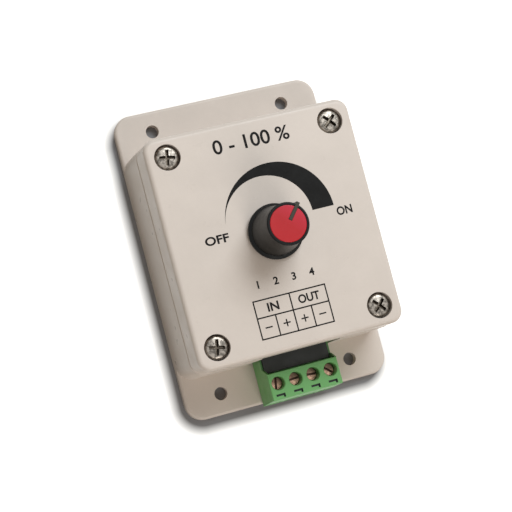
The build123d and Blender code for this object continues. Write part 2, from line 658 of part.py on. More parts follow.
# Circuit board with its screw holes and a hole for every lead
LEAD_SITES = [(x + step, y) for x, y in DIODE_SITES + RESISTOR_SITES for step in AXIAL_LEAD_XS]
LEAD_SITES += [(CAPACITOR_X + x, CAPACITOR_Y) for x in (-CAPACITOR_LEAD_PITCH / 2, CAPACITOR_LEAD_PITCH / 2)]
LEAD_SITES += [(DISC_X + x, DISC_Y) for x in (-DISC_LEAD_PITCH / 2, DISC_LEAD_PITCH / 2)]
PIN_SITES = [(x, PIN_DROP_Y) for x in POLE_XS]
LEG_SITES = [
    (TRANSISTOR_X + step * TRANSISTOR_LEG_PITCH, TRANSISTOR_Y - TRANSISTOR_BODY_THICKNESS / 2)
    for step in (-1, 0, 1)
]
with BuildPart() as circuit_board:
    with BuildSketch(Plane.XY.offset(BOARD_BOTTOM_Z)):
        with Locations((0, (BOARD_FRONT_Y + BOARD_BACK_Y) / 2)):
            Rectangle(BOARD_WIDTH, BOARD_BACK_Y - BOARD_FRONT_Y)
        with Locations(*BOARD_SCREW_SITES):
            Circle(BOARD_SCREW_R + SEAT_GAP, mode=Mode.SUBTRACT)
        with Locations(*LEAD_SITES):
            Circle(LEAD_R + SEAT_GAP, mode=Mode.SUBTRACT)
        with Locations(*PIN_SITES):
            Circle(PIN_SIDE / sqrt(2) + FIT_GAP, mode=Mode.SUBTRACT)
        with Locations(*LEG_SITES):
            Circle(TRANSISTOR_LEG_SIDE / sqrt(2) + FIT_GAP, mode=Mode.SUBTRACT)
        with Locations((CHIP_X, CHIP_Y)):
            with GridLocations(CHIP_PIN_PITCH, CHIP_ROW_SPACING, 4, 2):
                Circle(LEAD_R + SEAT_GAP, mode=Mode.SUBTRACT)
    extrude(amount=BOARD_THICKNESS)
circuit_board.part.label = "circuit_board"
export_step(circuit_board.part, "parts/circuit_board.step")


# Board screws
for number, (x, y) in enumerate(BOARD_SCREW_SITES):
    board_screw = cross_head_screw(
        x,
        y,
        BOARD_TOP_Z,
        BOARD_SCREW_R,
        BOARD_TOP_Z - BOARD_SCREW_END_Z,
        BOARD_SCREW_HEAD_R,
        BOARD_SCREW_HEAD_HEIGHT,
        BOARD_SCREW_TURN_STEP * number,
    )
    board_screw.part.label = f"board_screw_{number + 1}"
    export_step(board_screw.part, f"parts/board_screw_{number + 1}.step")


# Header housing: open-mouthed shroud on the board, with a tongue that reaches over the plug
with BuildPart() as header_housing:
    with BuildSketch(Plane.XY.offset(BOARD_TOP_Z)):
        with Locations((PLUG_X, (HEADER_FRONT_Y + HEADER_BACK_Y) / 2)):
            Rectangle(HEADER_WIDTH, HEADER_BACK_Y - HEADER_FRONT_Y)
    extrude(amount=HEADER_TOP_Z - BOARD_TOP_Z)
    with BuildSketch(Plane.XY.offset(NOSE_BOTTOM_Z - SEAT_GAP)):
        with Locations((PLUG_X, (HEADER_FRONT_Y - CUT_PAST + HEADER_CAVITY_END_Y) / 2)):
            Rectangle(NOSE_WIDTH + 2 * SEAT_GAP, HEADER_CAVITY_END_Y - HEADER_FRONT_Y + CUT_PAST)
    extrude(amount=NOSE_TOP_Z - NOSE_BOTTOM_Z + 2 * SEAT_GAP, mode=Mode.SUBTRACT)
    with BuildSketch(Plane.XY.offset(HEADER_TOP_Z)):
        with Locations((PLUG_X, (TONGUE_FRONT_Y + HEADER_BACK_Y) / 2)):
            Rectangle(TONGUE_WIDTH, HEADER_BACK_Y - TONGUE_FRONT_Y)
    extrude(amount=-HEADER_WALL)
    with BuildSketch(Plane.XY.offset(PIN_Z - PIN_SIDE / 2 - FIT_GAP)):
        with Locations(*[(x, HEADER_BACK_Y - HEADER_BACK_WALL / 2) for x in POLE_XS]):
            Rectangle(PIN_SIDE + 2 * FIT_GAP, 2 * HEADER_BACK_WALL)
    extrude(amount=PIN_SIDE + 2 * FIT_GAP, mode=Mode.SUBTRACT)
header_housing.part.label = "header_housing"
export_step(header_housing.part, "parts/header_housing.step")


# Header pins: square wire bent down through the board
for number, x in enumerate(POLE_XS):
    with BuildPart() as header_pin:
        with BuildSketch(Plane(origin=(x, 0, 0), x_dir=(0, 1, 0), z_dir=(1, 0, 0))):
            with BuildLine():
                Polyline(
                    (PIN_START_Y, PIN_Z - PIN_SIDE / 2),
                    (PIN_DROP_Y - PIN_SIDE / 2, PIN_Z - PIN_SIDE / 2),
                    (PIN_DROP_Y - PIN_SIDE / 2, LEAD_END_Z),
                    (PIN_DROP_Y + PIN_SIDE / 2, LEAD_END_Z),
                    (PIN_DROP_Y + PIN_SIDE / 2, PIN_Z + PIN_SIDE / 2),
                    (PIN_START_Y, PIN_Z + PIN_SIDE / 2),
                    close=True,
                )
            make_face()
        extrude(amount=PIN_SIDE / 2, both=True)
        chamfer(header_pin.faces().sort_by(Axis.Y)[0].edges(), PIN_CHAMFER)
    header_pin.part.label = f"header_pin_{number + 1}"
    export_step(header_pin.part, f"parts/header_pin_{number + 1}.step")


# Plug housing: stepped block whose front leans out at its foot, with cheeks, a nose, screw
# wells, clamp rooms and wire entries
with BuildPart() as plug_housing:
    with BuildSketch(Plane(origin=(PLUG_X, 0, 0), x_dir=(0, 1, 0), z_dir=(1, 0, 0))):
        with BuildLine():
            Polyline(
                (PLUG_FOOT_Y, PLUG_BOTTOM_Z),
                (PLUG_FRONT_Y, PLUG_TOP_Z),
                (PLUG_TOP_BACK_Y, PLUG_TOP_Z),
                (PLUG_LEDGE_Y, PLUG_LEDGE_Z + PLUG_BEVEL_HEIGHT),
                (PLUG_LEDGE_Y, PLUG_LEDGE_Z),
                (PLUG_SHOULDER_Y, PLUG_LEDGE_Z),
                (PLUG_SHOULDER_Y, PLUG_BOTTOM_Z),
                close=True,
            )
        make_face()
    extrude(amount=PLUG_WIDTH / 2, both=True)
    front_edges = plug_housing.faces().sort_by(Axis.Y)[0].edges().filter_by(Axis.X, reverse=True)
    fillet(front_edges + plug_housing.faces().sort_by(Axis.Z)[-1].edges(), PLUG_EDGE_R)
    # Rebate between the cheeks, under the header's tongue
    with BuildSketch(Plane.XY.offset(NOSE_TOP_Z)):
        with Locations((PLUG_X, (PLUG_TOP_BACK_Y + PLUG_SHOULDER_Y + CUT_PAST) / 2)):
            Rectangle(TONGUE_WIDTH + 2 * SEAT_GAP, PLUG_SHOULDER_Y + CUT_PAST - PLUG_TOP_BACK_Y)
    extrude(amount=PLUG_TOP_Z - NOSE_TOP_Z, mode=Mode.SUBTRACT)
    with BuildSketch(Plane.XY.offset(NOSE_BOTTOM_Z)):
        with Locations((PLUG_X, (PLUG_LEDGE_Y + NOSE_END_Y) / 2)):
            Rectangle(NOSE_WIDTH, NOSE_END_Y - PLUG_LEDGE_Y)
    extrude(amount=NOSE_TOP_Z - NOSE_BOTTOM_Z)
    # Rooms for the clamps, and pockets that hold the screw heads down
    with BuildSketch(Plane.XY.offset(CLAMP_BOTTOM_Z - FIT_GAP)):
        with Locations(*[(x, WELL_Y) for x in POLE_XS]):
            Rectangle(CLAMP_ROOM, CLAMP_DEPTH + 2 * FIT_GAP)
    extrude(amount=TERMINAL_HEAD_Z - CLAMP_BOTTOM_Z, mode=Mode.SUBTRACT)
    with BuildSketch(Plane.XY.offset(TERMINAL_HEAD_Z - 2 * FIT_GAP)):
        with Locations(*[(x, WELL_Y) for x in POLE_XS]):
            Circle(TERMINAL_HEAD_R + FIT_GAP)
    extrude(amount=TERMINAL_HEAD_HEIGHT + 3 * FIT_GAP, mode=Mode.SUBTRACT)
    with Locations(*[(x, WELL_Y, PLUG_TOP_Z) for x in POLE_XS]):
        Hole(WELL_R, PLUG_TOP_Z - TERMINAL_HEAD_Z)
    chamfer(plug_housing.edges().filter_by(GeomType.CIRCLE).group_by(Axis.Z)[-1], WELL_RIM)
    # Wire entries in the front face
    with BuildSketch(Plane(origin=(0, PLUG_FOOT_Y, 0), x_dir=(1, 0, 0), z_dir=(0, -1, 0))):
        with Locations(*[(x, WIRE_ENTRY_Z) for x in POLE_XS]):
            Rectangle(WIRE_ENTRY_WIDTH, WIRE_ENTRY_HEIGHT)
    extrude(amount=-(WELL_Y - PLUG_FOOT_Y), taper=WIRE_ENTRY_DRAFT, mode=Mode.SUBTRACT)
    # Rooms for the contacts, open at the end of the nose
    with BuildSketch(Plane.XY.offset(STRIP_Z - FIT_GAP)):
        with Locations(*[(x, (WELL_Y + NOSE_END_Y + CUT_PAST) / 2) for x in POLE_XS]):
            Rectangle(STRIP_WIDTH + 4 * FIT_GAP, NOSE_END_Y + CUT_PAST - WELL_Y)
    extrude(amount=BLADE_TOP_Z - STRIP_Z + 4 * FIT_GAP, mode=Mode.SUBTRACT)
    # Hooked mark in front of each well
    with BuildSketch(Plane.XY.offset(PLUG_TOP_Z)):
        with Locations(*[(x + MARK_X, MARK_Y) for x in POLE_XS]):
            Rectangle(MARK_LENGTH, MARK_LINE)
        for x in POLE_XS:
            hook_x = x + MARK_X + (MARK_LENGTH - MARK_LINE) / 2
            with Locations((hook_x, MARK_Y + (MARK_LINE - MARK_HOOK) / 2)):
                Rectangle(MARK_LINE, MARK_HOOK)
    extrude(amount=-MARK_DEPTH, mode=Mode.SUBTRACT)
plug_housing.part.label = "plug_housing"
export_step(plug_housing.part, "parts/plug_housing.step")


# Terminal screws: slotted heads, each turned as it was left
SHANK_END_Z = STRIP_Z + STRIP_THICKNESS + FIT_GAP
for number, x in enumerate(POLE_XS):
    with BuildPart() as plug_screw:
        with BuildSketch(Plane.XY.offset(TERMINAL_HEAD_Z)):
            with Locations((x, WELL_Y)):
                Circle(TERMINAL_HEAD_R)
        extrude(amount=TERMINAL_HEAD_HEIGHT)
        fillet(plug_screw.faces().sort_by(Axis.Z)[-1].edges(), TERMINAL_HEAD_EDGE_R)
        with BuildSketch(Plane.XY.offset(TERMINAL_HEAD_Z)):
            with Locations((x, WELL_Y)):
                Circle(TERMINAL_SHANK_R)
        extrude(amount=-(TERMINAL_HEAD_Z - SHANK_END_Z))
        with BuildSketch(Plane.XY.offset(TERMINAL_HEAD_Z + TERMINAL_HEAD_HEIGHT)):
            with Locations(Location((x, WELL_Y, 0), (0, 0, TERMINAL_TURNS[number]))):
                Rectangle(3 * TERMINAL_HEAD_R, TERMINAL_SLOT_WIDTH)
        extrude(amount=-TERMINAL_SLOT_DEPTH, mode=Mode.SUBTRACT)
    plug_screw.part.label = f"plug_screw_{number + 1}"
    export_step(plug_screw.part, f"parts/plug_screw_{number + 1}.step")


# Clamps: square cages whose thick top runs on the screw
for number, x in enumerate(POLE_XS):
    window_bottom = CLAMP_BOTTOM_Z + CLAMP_SIDE
    window_top = CLAMP_BOTTOM_Z + CLAMP_HEIGHT - CLAMP_NUT_HEIGHT
    with BuildPart() as plug_clamp:
        with BuildSketch(upright(x, WELL_Y)):
            with Locations((0, CLAMP_BOTTOM_Z + CLAMP_HEIGHT / 2)):
                RectangleRounded(CLAMP_WIDTH, CLAMP_HEIGHT, CLAMP_EDGE_R)
            with Locations((0, (window_bottom + window_top) / 2)):
                Rectangle(CLAMP_WIDTH - 2 * CLAMP_SIDE, window_top - window_bottom, mode=Mode.SUBTRACT)
        extrude(amount=CLAMP_DEPTH / 2, both=True)
        with Locations((x, WELL_Y, CLAMP_BOTTOM_Z + CLAMP_HEIGHT)):
            Hole(TERMINAL_SHANK_R + FIT_GAP, CLAMP_NUT_HEIGHT + CLAMP_SIDE)
    plug_clamp.part.label = f"plug_clamp_{number + 1}"
    export_step(plug_clamp.part, f"parts/plug_clamp_{number + 1}.step")


# Contacts: a strip through the clamp, ending in two blades about the pin
for number, x in enumerate(POLE_XS):
    strip_start = WELL_Y - CLAMP_DEPTH / 2 + FIT_GAP
    blade_middle = (PIN_SIDE + BLADE_THICKNESS) / 2 + FIT_GAP
    blade_xs = (x - blade_middle, x + blade_middle)
    with BuildPart() as plug_contact:
        with BuildSketch(Plane.XY.offset(STRIP_Z)):
            with Locations((x, (strip_start + CONTACT_END_Y) / 2)):
                Rectangle(STRIP_WIDTH, CONTACT_END_Y - strip_start)
        extrude(amount=STRIP_THICKNESS)
        with BuildSketch(Plane.XY.offset(STRIP_Z + STRIP_THICKNESS)):
            with Locations(*[(blade_x, (BLADE_START_Y + CONTACT_END_Y) / 2) for blade_x in blade_xs]):
                Rectangle(BLADE_THICKNESS, CONTACT_END_Y - BLADE_START_Y)
        extrude(amount=BLADE_TOP_Z - STRIP_Z - STRIP_THICKNESS)
    plug_contact.part.label = f"plug_contact_{number + 1}"
    export_step(plug_contact.part, f"parts/plug_contact_{number + 1}.step")


# Power transistor: metal tab, moulded body in front of it and three legs
TRANSISTOR_Z = BOARD_TOP_Z + TRANSISTOR_LIFT
with BuildPart() as transistor_tab:
    with BuildSketch(Plane(origin=(TRANSISTOR_X, TRANSISTOR_Y, 0), x_dir=(1, 0, 0), z_dir=(0, -1, 0))):
        with Locations((0, TRANSISTOR_Z + TRANSISTOR_TAB_HEIGHT / 2)):
            Rectangle(TRANSISTOR_WIDTH, TRANSISTOR_TAB_HEIGHT)
        with Locations((0, TRANSISTOR_Z + TRANSISTOR_TAB_HEIGHT - TRANSISTOR_HOLE_DROP)):
            Circle(TRANSISTOR_HOLE_R, mode=Mode.SUBTRACT)
    extrude(amount=-TRANSISTOR_TAB_THICKNESS)
    chamfer(transistor_tab.edges().filter_by(Axis.Y).group_by(Axis.Z)[-1], TRANSISTOR_CHAMFER)
transistor_tab.part.label = "transistor_tab"
export_step(transistor_tab.part, "parts/transistor_tab.step")

with BuildPart() as transistor_body:
    with BuildSketch(Plane(origin=(TRANSISTOR_X, TRANSISTOR_Y, 0), x_dir=(1, 0, 0), z_dir=(0, -1, 0))):
        with Locations((0, TRANSISTOR_Z + TRANSISTOR_BODY_HEIGHT / 2)):
            Rectangle(TRANSISTOR_WIDTH, TRANSISTOR_BODY_HEIGHT)
    extrude(amount=TRANSISTOR_BODY_THICKNESS, taper=MOULD_DRAFT)
transistor_body.part.label = "transistor_body"
export_step(transistor_body.part, "parts/transistor_body.step")

with BuildPart() as transistor_legs:
    with BuildSketch(Plane.XY.offset(TRANSISTOR_Z)):
        with Locations(*LEG_SITES):
            Rectangle(TRANSISTOR_LEG_SIDE, TRANSISTOR_LEG_SIDE)
    extrude(amount=-(TRANSISTOR_Z - LEAD_END_Z))
transistor_legs.part.label = "transistor_legs"
export_step(transistor_legs.part, "parts/transistor_legs.step")


# Supply capacitor: sleeved can with a crimp groove and two leads
GROOVE_Z = BOARD_TOP_Z + CAPACITOR_GROOVE_Z
CAPACITOR_TOP_Z = BOARD_TOP_Z + CAPACITOR_HEIGHT
with BuildPart() as supply_capacitor:
    with BuildSketch(upright(CAPACITOR_X, CAPACITOR_Y)):
        with BuildLine():
            Polyline(
                (0, BOARD_TOP_Z),
                (CAPACITOR_R, BOARD_TOP_Z),
                (CAPACITOR_R, GROOVE_Z - CAPACITOR_GROOVE_HALF),
                (CAPACITOR_R - CAPACITOR_GROOVE_DEPTH, GROOVE_Z),
                (CAPACITOR_R, GROOVE_Z + CAPACITOR_GROOVE_HALF),
                (CAPACITOR_R, CAPACITOR_TOP_Z - CAPACITOR_EDGE),
                (CAPACITOR_R - CAPACITOR_EDGE, CAPACITOR_TOP_Z),
                (0, CAPACITOR_TOP_Z),
                close=True,
            )
        make_face()
    revolve(axis=vertical(CAPACITOR_X, CAPACITOR_Y))
    with BuildSketch(Plane.XY.offset(BOARD_TOP_Z)):
        with Locations((CAPACITOR_X, CAPACITOR_Y)):
            with GridLocations(CAPACITOR_LEAD_PITCH, 1, 2, 1):
                Circle(LEAD_R)
    extrude(amount=-(BOARD_TOP_Z - LEAD_END_Z))
supply_capacitor.part.label = "supply_capacitor"
export_step(supply_capacitor.part, "parts/supply_capacitor.step")


# Timer chip: drafted body and two rows of bent legs
CHIP_LEG_Z = BOARD_TOP_Z + CHIP_LIFT + CHIP_HEIGHT / 2
with BuildPart() as timer_chip:
    with BuildSketch(Plane.XY.offset(BOARD_TOP_Z + CHIP_LIFT)):
        with Locations((CHIP_X, CHIP_Y)):
            Rectangle(CHIP_LENGTH, CHIP_WIDTH)
    extrude(amount=CHIP_HEIGHT, taper=MOULD_DRAFT)
    with BuildSketch(Plane.XY.offset(CHIP_LEG_Z)):
        with Locations((CHIP_X, CHIP_Y)):
            with GridLocations(CHIP_PIN_PITCH, 1, 4, 1):
                Rectangle(2 * LEAD_R, CHIP_ROW_SPACING + LEAD_R)
    extrude(amount=LEAD_R)
    with BuildSketch(Plane.XY.offset(CHIP_LEG_Z + LEAD_R)):
        with Locations((CHIP_X, CHIP_Y)):
            with GridLocations(CHIP_PIN_PITCH, CHIP_ROW_SPACING, 4, 2):
                Rectangle(LEAD_R, LEAD_R)
    extrude(amount=-(CHIP_LEG_Z + LEAD_R - LEAD_END_Z))
timer_chip.part.label = "timer_chip"
export_step(timer_chip.part, "parts/timer_chip.step")


def axial_part(x, y, body_r, body_length):
    """Round component lying along X on its own bent leads."""
    axis_z = BOARD_TOP_Z + body_r + RUN_GAP
    with BuildPart() as part:
        with BuildSketch(Plane(origin=(x - body_length / 2, y, axis_z), z_dir=(1, 0, 0))):
            Circle(body_r)
        extrude(amount=body_length)
        fillet(part.edges().filter_by(GeomType.CIRCLE), AXIAL_EDGE_R)
        with BuildLine() as lead:
            FilletPolyline(
                (x - AXIAL_SPAN / 2, y, LEAD_END_Z),
                (x - AXIAL_SPAN / 2, y, axis_z),
                (x + AXIAL_SPAN / 2, y, axis_z),
                (x + AXIAL_SPAN / 2, y, LEAD_END_Z),
                radius=LEAD_BEND_R,
            )
        with BuildSketch(Plane(origin=lead.line @ 0, z_dir=lead.line % 0)):
            Circle(LEAD_R)
        sweep(path=lead.line)
    return part


for number, (x, y) in enumerate(DIODE_SITES):
    diode = axial_part(x, y, DIODE_R, DIODE_LENGTH)
    diode.part.label = f"diode_{number + 1}"
    export_step(diode.part, f"parts/diode_{number + 1}.step")

for number, (x, y) in enumerate(RESISTOR_SITES):
    resistor = axial_part(x, y, RESISTOR_R, RESISTOR_LENGTH)
    resistor.part.label = f"resistor_{number + 1}"
    export_step(resistor.part, f"parts/resistor_{number + 1}.step")


# Ceramic capacitor: upright disc on two leads
with BuildPart() as ceramic_capacitor:
    with BuildSketch(Plane(origin=(DISC_X, DISC_Y, 0), x_dir=(1, 0, 0), z_dir=(0, -1, 0))):
        with Locations((0, BOARD_TOP_Z + DISC_LIFT + DISC_R)):
            Ellipse(DISC_WIDTH / 2, DISC_R)
    extrude(amount=DISC_THICKNESS / 2, both=True)
    fillet(ceramic_capacitor.edges(), DISC_EDGE_R)
    with BuildSketch(Plane.XY.offset(LEAD_END_Z)):
        with Locations((DISC_X, DISC_Y)):
            with GridLocations(DISC_LEAD_PITCH, 1, 2, 1):
                Circle(LEAD_R)
    extrude(amount=BOARD_TOP_Z + DISC_LIFT + DISC_R - DISC_LEAD_SPARE - LEAD_END_Z)
ceramic_capacitor.part.label = "ceramic_capacitor"
export_step(ceramic_capacitor.part, "parts/ceramic_capacitor.step")
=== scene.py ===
"""Looks of a low-voltage dimmer: a beige flanged box with a knob and a green screw terminal."""

import bmesh
import bpy
import numpy as np
from bpy.props import FloatProperty, FloatVectorProperty, PointerProperty
from mathutils import Matrix, Vector


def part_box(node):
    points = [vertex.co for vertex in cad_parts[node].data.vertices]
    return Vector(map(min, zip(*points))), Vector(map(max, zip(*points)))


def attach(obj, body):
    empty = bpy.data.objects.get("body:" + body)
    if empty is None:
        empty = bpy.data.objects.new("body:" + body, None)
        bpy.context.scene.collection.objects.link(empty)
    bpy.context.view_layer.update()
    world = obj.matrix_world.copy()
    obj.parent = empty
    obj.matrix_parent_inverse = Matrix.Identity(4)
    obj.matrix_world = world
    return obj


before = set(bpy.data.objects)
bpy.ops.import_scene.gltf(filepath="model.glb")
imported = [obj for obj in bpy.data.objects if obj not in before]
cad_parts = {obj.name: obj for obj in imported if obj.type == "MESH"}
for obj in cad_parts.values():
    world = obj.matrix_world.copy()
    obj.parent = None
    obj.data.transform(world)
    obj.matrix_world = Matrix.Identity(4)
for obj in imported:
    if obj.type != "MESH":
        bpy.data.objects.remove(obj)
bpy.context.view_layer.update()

bl_info = {
    "name": "Dimmer box",
    "version": (1, 0, 0),
    "blender": (4, 5, 0),
    "location": "View3D > Sidebar > Dimmer",
    "description": "Finishes, lid print and studio of a low-voltage dimmer box",
    "category": "Object",
}

MM = 0.001
LID_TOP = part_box("lid")[1].z
# Numbers of the lid screws, the board screws and the poles
NUMBERS = (1, 2, 3, 4)

# Radius that rounded edges seem to have
PLASTIC_EDGE = 0.12 * MM
METAL_EDGE = 0.08 * MM
# Turning rings: scale of the wave node at a pitch of one metre, depth and strength
RING_SCALE = 0.314
RING_DEPTH = 0.012 * MM
RING_STRENGTH = 0.6
# Sweep of the lid's swelling arc from +X, and the points on each of its edges
ARC_SWEEP = np.radians(172)
ARC_POINTS = 73
# Share of the ink's height that upright strokes have, so that crossing faces don't coincide
CROSSING_SHARE = 0.9
# Only the pointer bar's face lies less than this under the knob's top
POINTER_DROP = 0.05 * MM
POINTER_TINT = (64, 64, 56)
# Painted sheen that makes one side of the knob's cap rosy: its colour, its turn, its reach from
# the middle and its share
CAP_SHEEN = (206, 44, 74)
CAP_SHEEN_TURN = np.radians(40)
CAP_SHEEN_REACH = 4.5 * MM
CAP_SHEEN_SHARE = 0.5
# Painted shade in the recesses of the two kinds of screw head: radius, depth and colour of the
# painted shade
CROSS_RECESS_SHADE = (2.3 * MM, 1.4 * MM, (104, 96, 86))
SLOT_RECESS_SHADE = (1.6 * MM, 0.8 * MM, (72, 54, 46))
# Run along +Y, from a slotted head's middle, over which painted shade from its well darkens it,
# and the share of that painted shade
WELL_PAINTED_SHADE = (-0.9 * MM, 0.8 * MM)
WELL_PAINTED_SHADE_SHARE = 0.9
# Covers of the potentiometer's wires, and rings and stripes of the board's parts
WIRE_COLOURS = ((170, 38, 34), (222, 220, 214), (36, 36, 38))
RESISTOR_RINGS = ((120, 70, 30), (30, 30, 30), (176, 50, 40))
DIODE_RING = (196, 196, 196)
SLEEVE_STRIPE = (190, 194, 204)
# Distance from the middle at which a part's body ends and its leads begin
CHIP_REACH = 3.25 * MM
DIODE_REACH = 2.6 * MM
RESISTOR_REACH = 3.15 * MM
# Sizes of the brick pattern that stands for the board's tracks
TRACK_PATTERN = {
    "Scale": 1.0,
    "Brick Width": 5.08 * MM,
    "Row Height": 2.54 * MM,
    "Mortar Size": 0.25 * MM,
}
# Wire mark on the plug: boxes with place and half size in a pole's own millimetres
MARK_BOXES = ((-0.1, -42.4, 1.3, 0.3), (0.9, -42.65, 0.3, 0.55))
MARK_DROP = 0.9 * MM
# Colour of the painted shade in and around the wire mark's grooves
MARK_SHADE = (28, 44, 30)
# Places, sizes and colours of the lamps, and the point that they look at
LAMP_AIM = (0, 0, 0.02)
KEY_LAMP = ((0.28, 0.42, 0.64), 0.48, (0.9, 0.96, 1.0))
FRONT_LAMP = ((0.02, -0.72, 0.52), 0.42, (1.0, 0.96, 0.92))
SKY_COLOUR = (1.0, 0.91, 0.78)
# Half the floor's width, and its colours under the object, darker there as painted shade, and away
# from it
FLOOR_REACH = 3.0
FLOOR_PAINTED_SHADE = (0.24, 0.24, 0.25)
FLOOR_FAR = (0.36, 0.34, 0.3)
# Part of the floor that keeps its shadow: middle, half sizes and corner of a rounded rectangle,
# and the distances from it over which the white comes in
SHADOW_MIDDLE = (-1.2 * MM, -1.9 * MM, 0)
SHADOW_HALF = (29.4 * MM, 43.4 * MM)
SHADOW_CORNER = 6 * MM
SHADOW_FADE = (0.4 * MM, 3.4 * MM)


def linear(red, green, blue):
    """Linear colour of a display colour given in steps of 0 to 255."""
    steps = np.array((red, green, blue)) / 255
    curved = ((steps + 0.055) / 1.055) ** 2.4
    return tuple(np.where(steps <= 0.04045, steps / 12.92, curved).tolist())


def size_setting(text, default, description):
    """Length property in millimetres."""
    return FloatProperty(
        name=text, description=description, default=default, min=0.0, soft_max=100.0
    )


def place_setting(text, default, description):
    """Place property in millimetres across and up from the middle of the lid."""
    return FloatVectorProperty(name=text, description=description, default=default, size=2)


def colour_setting(text, default, description):
    """Colour property."""
    return FloatVectorProperty(
        name=text,
        description=description,
        default=default,
        subtype="COLOR",
        size=3,
        min=0.0,
        max=1.0,
    )


class DimmerColours(bpy.types.PropertyGroup):
    """Colours of the dimmer's plastics, metals and ink."""

    case: colour_setting("Case", linear(215, 204, 195), "Moulded box and lid")
    knob: colour_setting("Knob", linear(12, 13, 13), "Knob body")
    cap: colour_setting("Cap", linear(180, 24, 32), "Disc in the top of the knob")
    terminal: colour_setting("Terminal", linear(104, 166, 98), "Plug and header mouldings")
    ink: colour_setting("Ink", linear(16, 15, 14), "Print on the lid")
    nickel: colour_setting("Nickel", linear(158, 150, 140), "Plated screws")
    brass: colour_setting("Terminal screw", linear(206, 168, 142), "Screws in the terminal")
    zinc: colour_setting("Zinc", linear(180, 180, 180), "Die-cast potentiometer parts")
    tin: colour_setting("Tin", linear(205, 203, 196), "Tinned legs, pins and contacts")
    mask: colour_setting("Solder mask", linear(28, 104, 58), "Circuit board")
    phenolic: colour_setting("Phenolic", linear(150, 98, 52), "Track board of the potentiometer")
    header: colour_setting("Header", linear(56, 58, 54), "Header that the plug goes on")
    epoxy: colour_setting("Epoxy", linear(34, 34, 36), "Moulded chips and diodes")
    sleeve: colour_setting("Sleeve", linear(28, 34, 74), "Sleeve of the supply capacitor")
    lacquer: colour_setting("Lacquer", linear(196, 164, 118), "Resistors and disc capacitor")


class DimmerPrint(bpy.types.PropertyGroup):
    """Places and sizes of the lid's print, in millimetres from the middle of the lid."""

    ink_height: size_setting("Ink height", 0.02, "How far the ink stands on the plastic")
    line: size_setting("Line", 0.36, "Width of the table's lines")
    swell_inner: place_setting(
        "Inner centre", (-0.4, 3.3), "Centre of the swelling arc's inner circle"
    )
    swell_inner_r: size_setting("Inner radius", 12.09, "Radius of the swelling arc's inner circle")
    swell_outer: place_setting(
        "Outer centre", (2.67, 3.3), "Centre of the swelling arc's outer circle"
    )
    swell_outer_r: size_setting("Outer radius", 15.15, "Radius of the swelling arc's outer circle")
    table_low: place_setting("Table low corner", (-10.65, -26.9), "Lower left corner of the table")
    table_high: place_setting(
        "Table high corner", (9.55, -16.65), "Upper right corner of the table"
    )
    table_middle: FloatProperty(
        name="Table middle", description="Height of the table's middle line", default=-21.27
    )
    title_width: size_setting("Title width", 21.45, "Width of the figures above the arc")
    title_height: size_setting("Title height", 3.9, "Height of the figures above the arc")
    title_place: place_setting("Title place", (0.2, 23.5), "Middle of the title's baseline")
    off_place: place_setting("Off place", (-15.7, 0.4), "Middle of the left word's baseline")
    on_place: place_setting("On place", (20.35, 0.2), "Middle of the right word's baseline")
    word_height: size_setting(
        "Word height", 2.35, "Height of the words beside the knob and in the table"
    )
    off_width: size_setting("Off width", 6.6, "Width of the left word")
    on_width: size_setting("On width", 4.4, "Width of the right word")
    in_width: size_setting("In width", 3.2, "Width of the table's left word")
    out_width: size_setting("Out width", 6.0, "Width of the table's right word")
    figure_height: size_setting("Figure height", 2.1, "Height of the figures above the table")
    figure_base: FloatProperty(
        name="Figure base", description="Baseline of the figures above the table", default=-13.6
    )
    sign_size: size_setting("Sign size", 2.0, "Length of the strokes of the signs in the table")
    title_weight: FloatProperty(
        name="Title weight",
        description="Growth of the title's outlines, as a share of its size",
        default=0.014,
    )
    word_weight: FloatProperty(
        name="Word weight",
        description="Growth of the words' outlines, as a share of their size",
        default=0.028,
    )


class DimmerStage(bpy.types.PropertyGroup):
    """Camera and lamps."""

    aim: FloatVectorProperty(
        name="Aim",
        description="Point that the camera looks at",
        default=(0.00118, -0.00292, 0.0),
        unit="LENGTH",
    )
    distance: FloatProperty(
        name="Distance", description="From the aim to the camera", default=0.4189, unit="LENGTH"
    )
    azimuth: FloatProperty(
        name="Azimuth",
        description="Turn of the camera about +Z, from +X",
        default=np.radians(-164.98),
        unit="ROTATION",
    )
    elevation: FloatProperty(
        name="Elevation",
        description="Rise of the camera over the floor",
        default=np.radians(75.40),
        unit="ROTATION",
    )
    roll: FloatProperty(
        name="Roll",
        description="Turn of the camera about its own axis",
        default=np.radians(14.86),
        unit="ROTATION",
    )
    lens: FloatProperty(
        name="Lens", description="Focal length on a 36 mm sensor, in millimetres", default=103.0
    )
    key_power: FloatProperty(
        name="Key light", description="Power of the large lamp", default=4.95, unit="POWER"
    )
    fill_power: FloatProperty(
        name="Fill light", description="Power of the front lamp", default=2.7, unit="POWER"
    )
    sky: FloatProperty(
        name="Sky", description="Strength of the surrounding light", default=0.29
    )
    floor_glow: FloatProperty(
        name="Floor glow", description="White added to the floor as it is seen", default=0.9
    )


